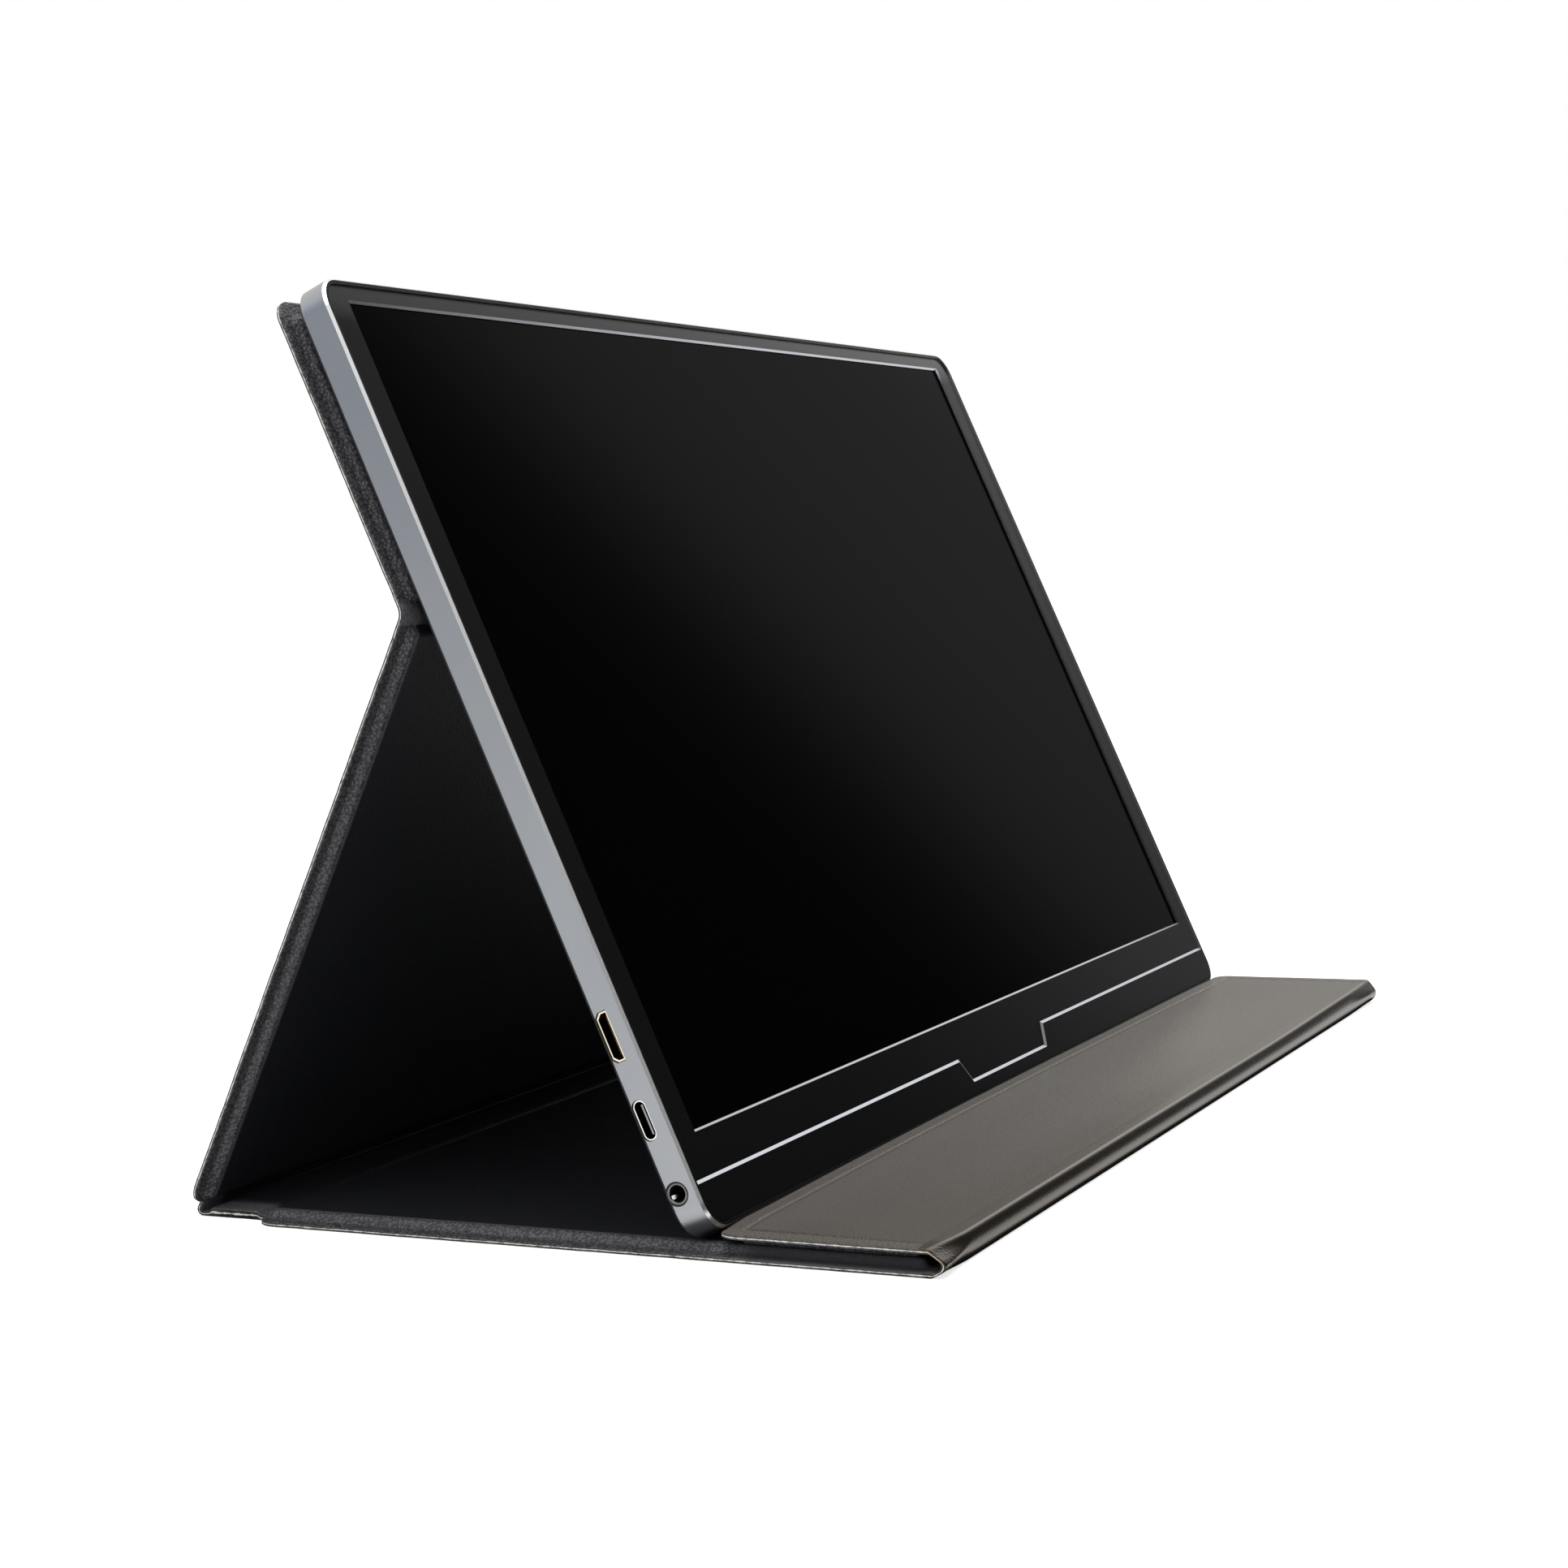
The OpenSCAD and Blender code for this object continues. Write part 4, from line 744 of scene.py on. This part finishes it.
# The back fold is a soft strip of both skins between the leg and the upper panel
BACK_TURN = TILT + LEAN
BACK_R = BACK_GAP / math.tan(BACK_TURN / 2)
_, centre_y, centre_z = on_leg(0, LEG_LEN - BACK_GAP, SKIN - BACK_R)
outer, inner = [], []
for line, z in ((outer, OUT_Z), (inner, IN_Z)):
    line += [on_leg(0, LEG_LEN - BACK_GAP - d, z)[1:] for d in (0.4, 0.05)]
    _, y, z_start = on_leg(0, LEG_LEN - BACK_GAP, z)
    dy, dz = y - centre_y, z_start - centre_z
    for k in range(9):
        a = BACK_TURN * k / 8
        line.append((centre_y + dy * math.cos(a) + dz * math.sin(a),
                     centre_z - dy * math.sin(a) + dz * math.cos(a)))
    line += [on_display(0, FOLD_U + BACK_GAP + d, z)[1:] for d in (0.05, 0.4)]
back_strip = band("back_fold_leather", outer, inner, COVER_W / 2)
dress(back_strip, hide, within=wrap)
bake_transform(back_strip)

# ---- Cover: stop panel ----
# The front panel, folded back over the base so that it lies upside down on it. Its free
# rear edge droops a little and stops the display's foot from sliding forward.
STOP_TOP = 6.1
RISE = 0.9  # mm by which the fold springs open at its right-hand end


def on_stop(x, q, z):
    """A point q mm from the panel's free edge and z mm under its outer face, on the base."""
    return (x, STOP_REAR - q, STOP_TOP - z)


def stop_lift(x, q):
    """The leather bows up off its board towards the rear, most in the middle, and its margin droops."""
    bow = 0.7 * ease((x + COVER_W / 2) / 18) + 0.85 * np.clip(1 - ((x - 5) / 165) ** 2, 0, 1)
    right = ease((x - 60) / 120)
    droop = 0.45 * (1 - ease(q / 5.4)) * ease((x + COVER_W / 2) / 6) * (1 - right)
    return (bow + 0.1 * right) * (1 - ease((q - 8) / 34)) + RISE * right * ease((q - 8) / 34) - droop


make_up("stop", "stop", panel(0, STOP_LEN, ("free", "fold"), 3.1, stop_lift), on_stop)

# The front fold is a hollow roll of both skins between the base and the stop panel: a tight
# bend along the top, a tall front that is fullest low down, and a tight bend underneath.
ROLL_Y, ROLL_FRONT = FRONT_Y + 2.45, FRONT_Y + 0.5
# Each bend turns from one angle to the next, in degrees, round a radius in mm
BENDS = ((180, 115, 1.25), (115, 90, 3.4), (90, 62, 6.8), (62, 0, 1.3))
run = [(0.0, 0.0)]
for start, stop, radius in BENDS:
    for k in range(10):
        a, c = (math.radians(start + (stop - start) * i / 10) for i in (k, k + 1))
        y, z = run[-1]
        run.append((y + radius * (math.sin(a) - math.sin(c)), z + radius * (math.cos(c) - math.cos(a))))
turns = [start + (stop - start) * k / 10 for start, stop, _ in BENDS for k in range(10)] + [0]
fullest, full = min(y for y, z in run), (STOP_TOP - 2 * OUT_Z) / run[-1][1]
outer, inner = [(BASE_FRONT + 0.3, OUT_Z)], [(BASE_FRONT + 0.3, IN_Z)]
for (y, z), turn in zip(run, turns):
    y, z, turn = ROLL_FRONT + y - fullest, OUT_Z + z * full, math.radians(turn)
    outer.append((y, z))
    inner.append((y + (IN_Z - OUT_Z) * math.sin(turn), z - (IN_Z - OUT_Z) * math.cos(turn)))
outer.append((STOP_FRONT + 0.3, STOP_TOP - OUT_Z))
inner.append((STOP_FRONT + 0.3, STOP_TOP - IN_Z))


def sprung(x, y, z):
    """Raises the roll at its right-hand end, and lets both ends slump to a rounder loop."""
    ends = ease((-166 - x) / 18) + 0.45 * ease((x - 152) / 30)
    slump = float(ends * ease((STOP_FRONT - 0.2 - y) / 2.2))
    over, under = float(ease((z - 3) / 3.1)), float(ease((1.8 - z) / 1.8))
    y += slump * (1.5 * over - 1.1 * math.exp(-((z - 2.9) / 1.6) ** 2) + 1.3 * under)
    return (x, y, z + RISE * float(ease((x - 60) / 120)) * max(0, z - IN_Z) / (STOP_TOP - IN_Z))


roll = band("front_fold_leather", outer, inner, COVER_W / 2, sprung)
# Over the fold's front the hide is stretched: glossier, with hardly any grain left. Where the roll faces
# forward its colour is painted near black, as painted shade.
taut = leather("stretched_charcoal_leather", ("#454139", "#4f4a43"), HIDE_MARGIN, HIDE_GRAIN,
               rough=(0.16, 0.22), depth=(0.05, 0.45))
skin = taut.node_tree.nodes["Principled BSDF"]
skin.inputs["Specular Tint"].default_value = colour("#ffdcb0")
turned = add(taut, "SeparateXYZ", {0: add(taut, "TexCoord").outputs["Normal"]})
front = add(taut, "MapRange", {"Value": turned.outputs["Y"], "From Min": -0.3, "From Max": -0.66,
                               "To Max": 0.85})
whole = skin.inputs["Base Color"].links[0].from_socket
painted_shading = add(taut, "Mix", {0: front, 6: whole, 7: colour("#0b0a09")}, data_type="RGBA")
join(taut, painted_shading.outputs[2], skin, "Base Color")
dress(roll, taut, within=wrap)
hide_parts("front_fold")
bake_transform(roll)

# ---- Studio ----
# A white floor that runs out of sight, white walls all round, a big softbox overhead and
# the camera. Gloss sees cards and a flag that shape its highlights, as in a product studio.
FLOOR_LIFT, AMBIENT, STRIP = 0.72, 0.55, 0.5
bpy.ops.mesh.primitive_plane_add(size=40)
floor = bpy.context.object
floor.name = "floor"
# Studio paper is quite dull, and a little grey where nothing lights it
paper, skin = finish("white_studio_paper")
seen = add(paper, "LightPath")
either = add(paper, "Math", {0: seen.outputs["Is Camera Ray"], 1: seen.outputs["Is Glossy Ray"]},
             operation="MAXIMUM")
any_of = add(paper, "Math", {0: either, 1: seen.outputs["Is Transmission Ray"]}, operation="MAXIMUM")
# For glossy rays only, the floor is painted dark as a black card on the table in front of the object, from 5
# mm away and full at 46 mm,
spot = add(paper, "TexCoord")
at = add(paper, "SeparateXYZ", {0: spot.outputs["Object"]})
ahead = add(paper, "MapRange", {"Value": at.outputs["Y"], "From Min": -0.099, "From Max": -0.14})
beside = add(paper, "MapRange", {"Value": at.outputs["X"], "From Min": 0.95, "From Max": 0.48})
card = add(paper, "Math", {0: ahead, 1: beside}, operation="MULTIPLY")
# and as a painted contact shadow close under the object's front edge
under = add(paper, "MapRange", {"Value": at.outputs["Y"], "From Min": -0.0962, "From Max": -0.0938})
inside = add(paper, "MapRange", {"Value": at.outputs["X"], "From Min": 0.19, "From Max": 0.186})
contact = add(paper, "Math", {0: under, 1: inside}, operation="MULTIPLY")
left = add(paper, "MapRange", {"Value": at.outputs["X"], "From Min": -0.19, "From Max": -0.186})
close = add(paper, "Math", {0: contact, 1: left}, operation="MULTIPLY")
painted_shade = add(paper, "Math", {0: card, 1: close}, operation="MAXIMUM")
dark = add(paper, "Math", {0: painted_shade, 1: seen.outputs["Is Glossy Ray"]}, operation="MULTIPLY")
open_floor = add(paper, "Math", {0: 1.0, 1: dark}, operation="SUBTRACT")
full = add(paper, "Math", {0: any_of, 1: FLOOR_LIFT}, operation="MULTIPLY")
glow = add(paper, "Math", {0: seen.outputs["Is Glossy Ray"], 1: -0.16, 2: full}, operation="MULTIPLY_ADD")
lift = add(paper, "Math", {0: glow, 1: open_floor}, operation="MULTIPLY")
tone = add(paper, "Mix", {0: dark, 6: colour("#e8e8e8"), 7: colour("#0c0c0c")}, data_type="RGBA")
skin.inputs["Roughness"].default_value = 1.0
skin.inputs["Specular IOR Level"].default_value = 0.0
skin.inputs["Emission Color"].default_value = (1, 1, 1, 1)
join(paper, tone.outputs[2], skin, "Base Color")
join(paper, lift, skin, "Emission Strength")
floor.data.materials.append(paper)

# The walls are white. What gloss picks up from them is shaped by a black flag in front, from
# the left round to the right, a grey edge beside it, and a strip lamp behind on the right. Each
# stop is an azimuth in degrees, counted from the right towards the back, and a brightness.
world = bpy.data.worlds.new("white_studio")
bpy.context.scene.world = world
world.use_nodes = True
seen = add(world, "LightPath")
towards = add(world, "TexCoord")
part = add(world, "SeparateXYZ", {0: towards.outputs["Generated"]})
round_it = add(world, "Math", {0: part.outputs["Y"], 1: part.outputs["X"]}, operation="ARCTAN2")
height = add(world, "Math", {0: part.outputs["Z"]}, operation="ARCSINE")
place_on_ramp = add(world, "MapRange", {"Value": round_it, "From Min": -math.pi, "From Max": math.pi})
walls = add(world, "ValToRGB", {"Fac": place_on_ramp})
walls.color_ramp.interpolation = "LINEAR"
stops = ((-127, 0.8), (-124, 0.0), (-20.2, 0.0), (-18.3, 0.26), (-16.5, 0.27), (-14, 0.2), (-12, 0.2),
         (-8.5, 0.9), (3, 0.9), (11, 0.44), (19, 0.54), (22, 0.66), (27, 0.66), (60, 0.75))
for azimuth, value in stops:
    walls.color_ramp.elements.new((azimuth + 180) / 360).color = (value, value, value, 1)
walls.color_ramp.elements[0].color = (0.8, 0.8, 0.8, 1)
walls.color_ramp.elements[-1].color = (0.75, 0.75, 0.75, 1)
low_wall = add(world, "MapRange", {"Value": height, "From Min": math.radians(5),
                                   "From Max": math.radians(30), "To Min": 0.65, "To Max": 1.6})
lit_wall = add(world, "Math", {0: walls.outputs["Color"], 1: low_wall}, operation="MULTIPLY")
over = add(world, "MapRange", {"Value": height, "From Min": math.radians(38), "From Max": math.radians(52)})
room = add(world, "Mix", {0: over, 2: lit_wall, 3: 1.0})
strip_turn, strip_up = math.radians(10), math.radians(22)
strip_way = Vector((math.cos(strip_turn) * math.cos(strip_up), math.sin(strip_turn) * math.cos(strip_up),
                    math.sin(strip_up)))
aim = add(world, "VectorMath", {0: towards.outputs["Generated"], 1: strip_way}, operation="DOT_PRODUCT")
strip = add(world, "MapRange", {"Value": aim.outputs["Value"], "From Min": math.cos(math.radians(11)),
                                "From Max": math.cos(math.radians(6)), "To Max": STRIP})
gloss_light = add(world, "Math", {0: room, 1: strip}, operation="ADD")
# Plain surfaces get an even light that the flag also shades
shaded = add(world, "MapRange", {"Value": walls.outputs["Color"], "From Max": 0.25, "To Min": 0.1,
                                 "To Max": 1.0})
softly = add(world, "Mix", {0: over, 2: shaded, 3: 1.0})
even = add(world, "Math", {0: softly, 1: AMBIENT}, operation="MULTIPLY")
plain_light = add(world, "Mix", {0: seen.outputs["Is Diffuse Ray"], 2: 1.0, 3: even})
level = add(world, "Mix", {0: seen.outputs["Is Glossy Ray"], 2: plain_light, 3: gloss_light})
# A warm card behind on the right warms the leather's sheen, and a pale blue one behind on the
# left cools the top of the case's side
WHITE, WARM, WARMISH, COOL = (1, 1, 1, 1), (1, 0.97, 0.92, 1), (1, 0.98, 0.95, 1), (0.66, 0.75, 0.92, 1)
cards = add(world, "ValToRGB", {"Fac": place_on_ramp})
for azimuth, tint in ((8, WHITE), (18, WARM), (60, WARMISH), (125, WHITE), (138, COOL), (165, COOL),
                      (175, WHITE)):
    cards.color_ramp.elements.new((azimuth + 180) / 360).color = tint
cards.color_ramp.elements[0].color = cards.color_ramp.elements[-1].color = WHITE
hue = add(world, "Mix", {0: seen.outputs["Is Glossy Ray"], 6: WHITE, 7: cards.outputs["Color"]},
          data_type="RGBA")
backdrop = world.node_tree.nodes["Background"]
join(world, level, backdrop, "Strength")
join(world, hue.outputs[2], backdrop, "Color")

# The softbox is 1.6 m square and hangs as high over the table, turned to the object
softbox = bpy.data.objects.new("softbox_above", bpy.data.lights.new("softbox_above", "AREA"))
bpy.context.scene.collection.objects.link(softbox)
softbox.data.shape, softbox.data.size, softbox.data.size_y, softbox.data.energy = "RECTANGLE", 1.6, 1.6, 18
softbox.location = (-0.3, -0.2, 1.6)
softbox.rotation_euler = (-softbox.location).to_track_quat("-Z", "Y").to_euler()

# The camera stands 0.8 m off at the front left, 15 cm over the table, and looks across the
# screen, dipped and rolled by a few degrees
YAW, DIP, ROLL = math.radians(65.03), math.radians(4.47), math.radians(-1.95)
ahead = Vector((math.sin(YAW) * math.cos(DIP), math.cos(YAW) * math.cos(DIP), -math.sin(DIP)))
flat = Vector((math.cos(YAW), -math.sin(YAW), 0))
upright = flat.cross(ahead)
right = math.cos(ROLL) * flat + math.sin(ROLL) * upright
above = math.cos(ROLL) * upright - math.sin(ROLL) * flat
camera = bpy.data.objects.new("camera", bpy.data.cameras.new("camera"))
bpy.context.scene.collection.objects.link(camera)
camera.data.sensor_width, camera.data.lens = 36, 67.09
camera.data.clip_start, camera.data.clip_end = 0.02, 60
turned = Matrix((right, above, -ahead)).transposed().to_4x4()
camera.matrix_world = Matrix.Translation((-0.7203, -0.3110, 0.1464)) @ turned
bpy.context.scene.camera = camera
bpy.context.scene.view_settings.view_transform = "Standard"
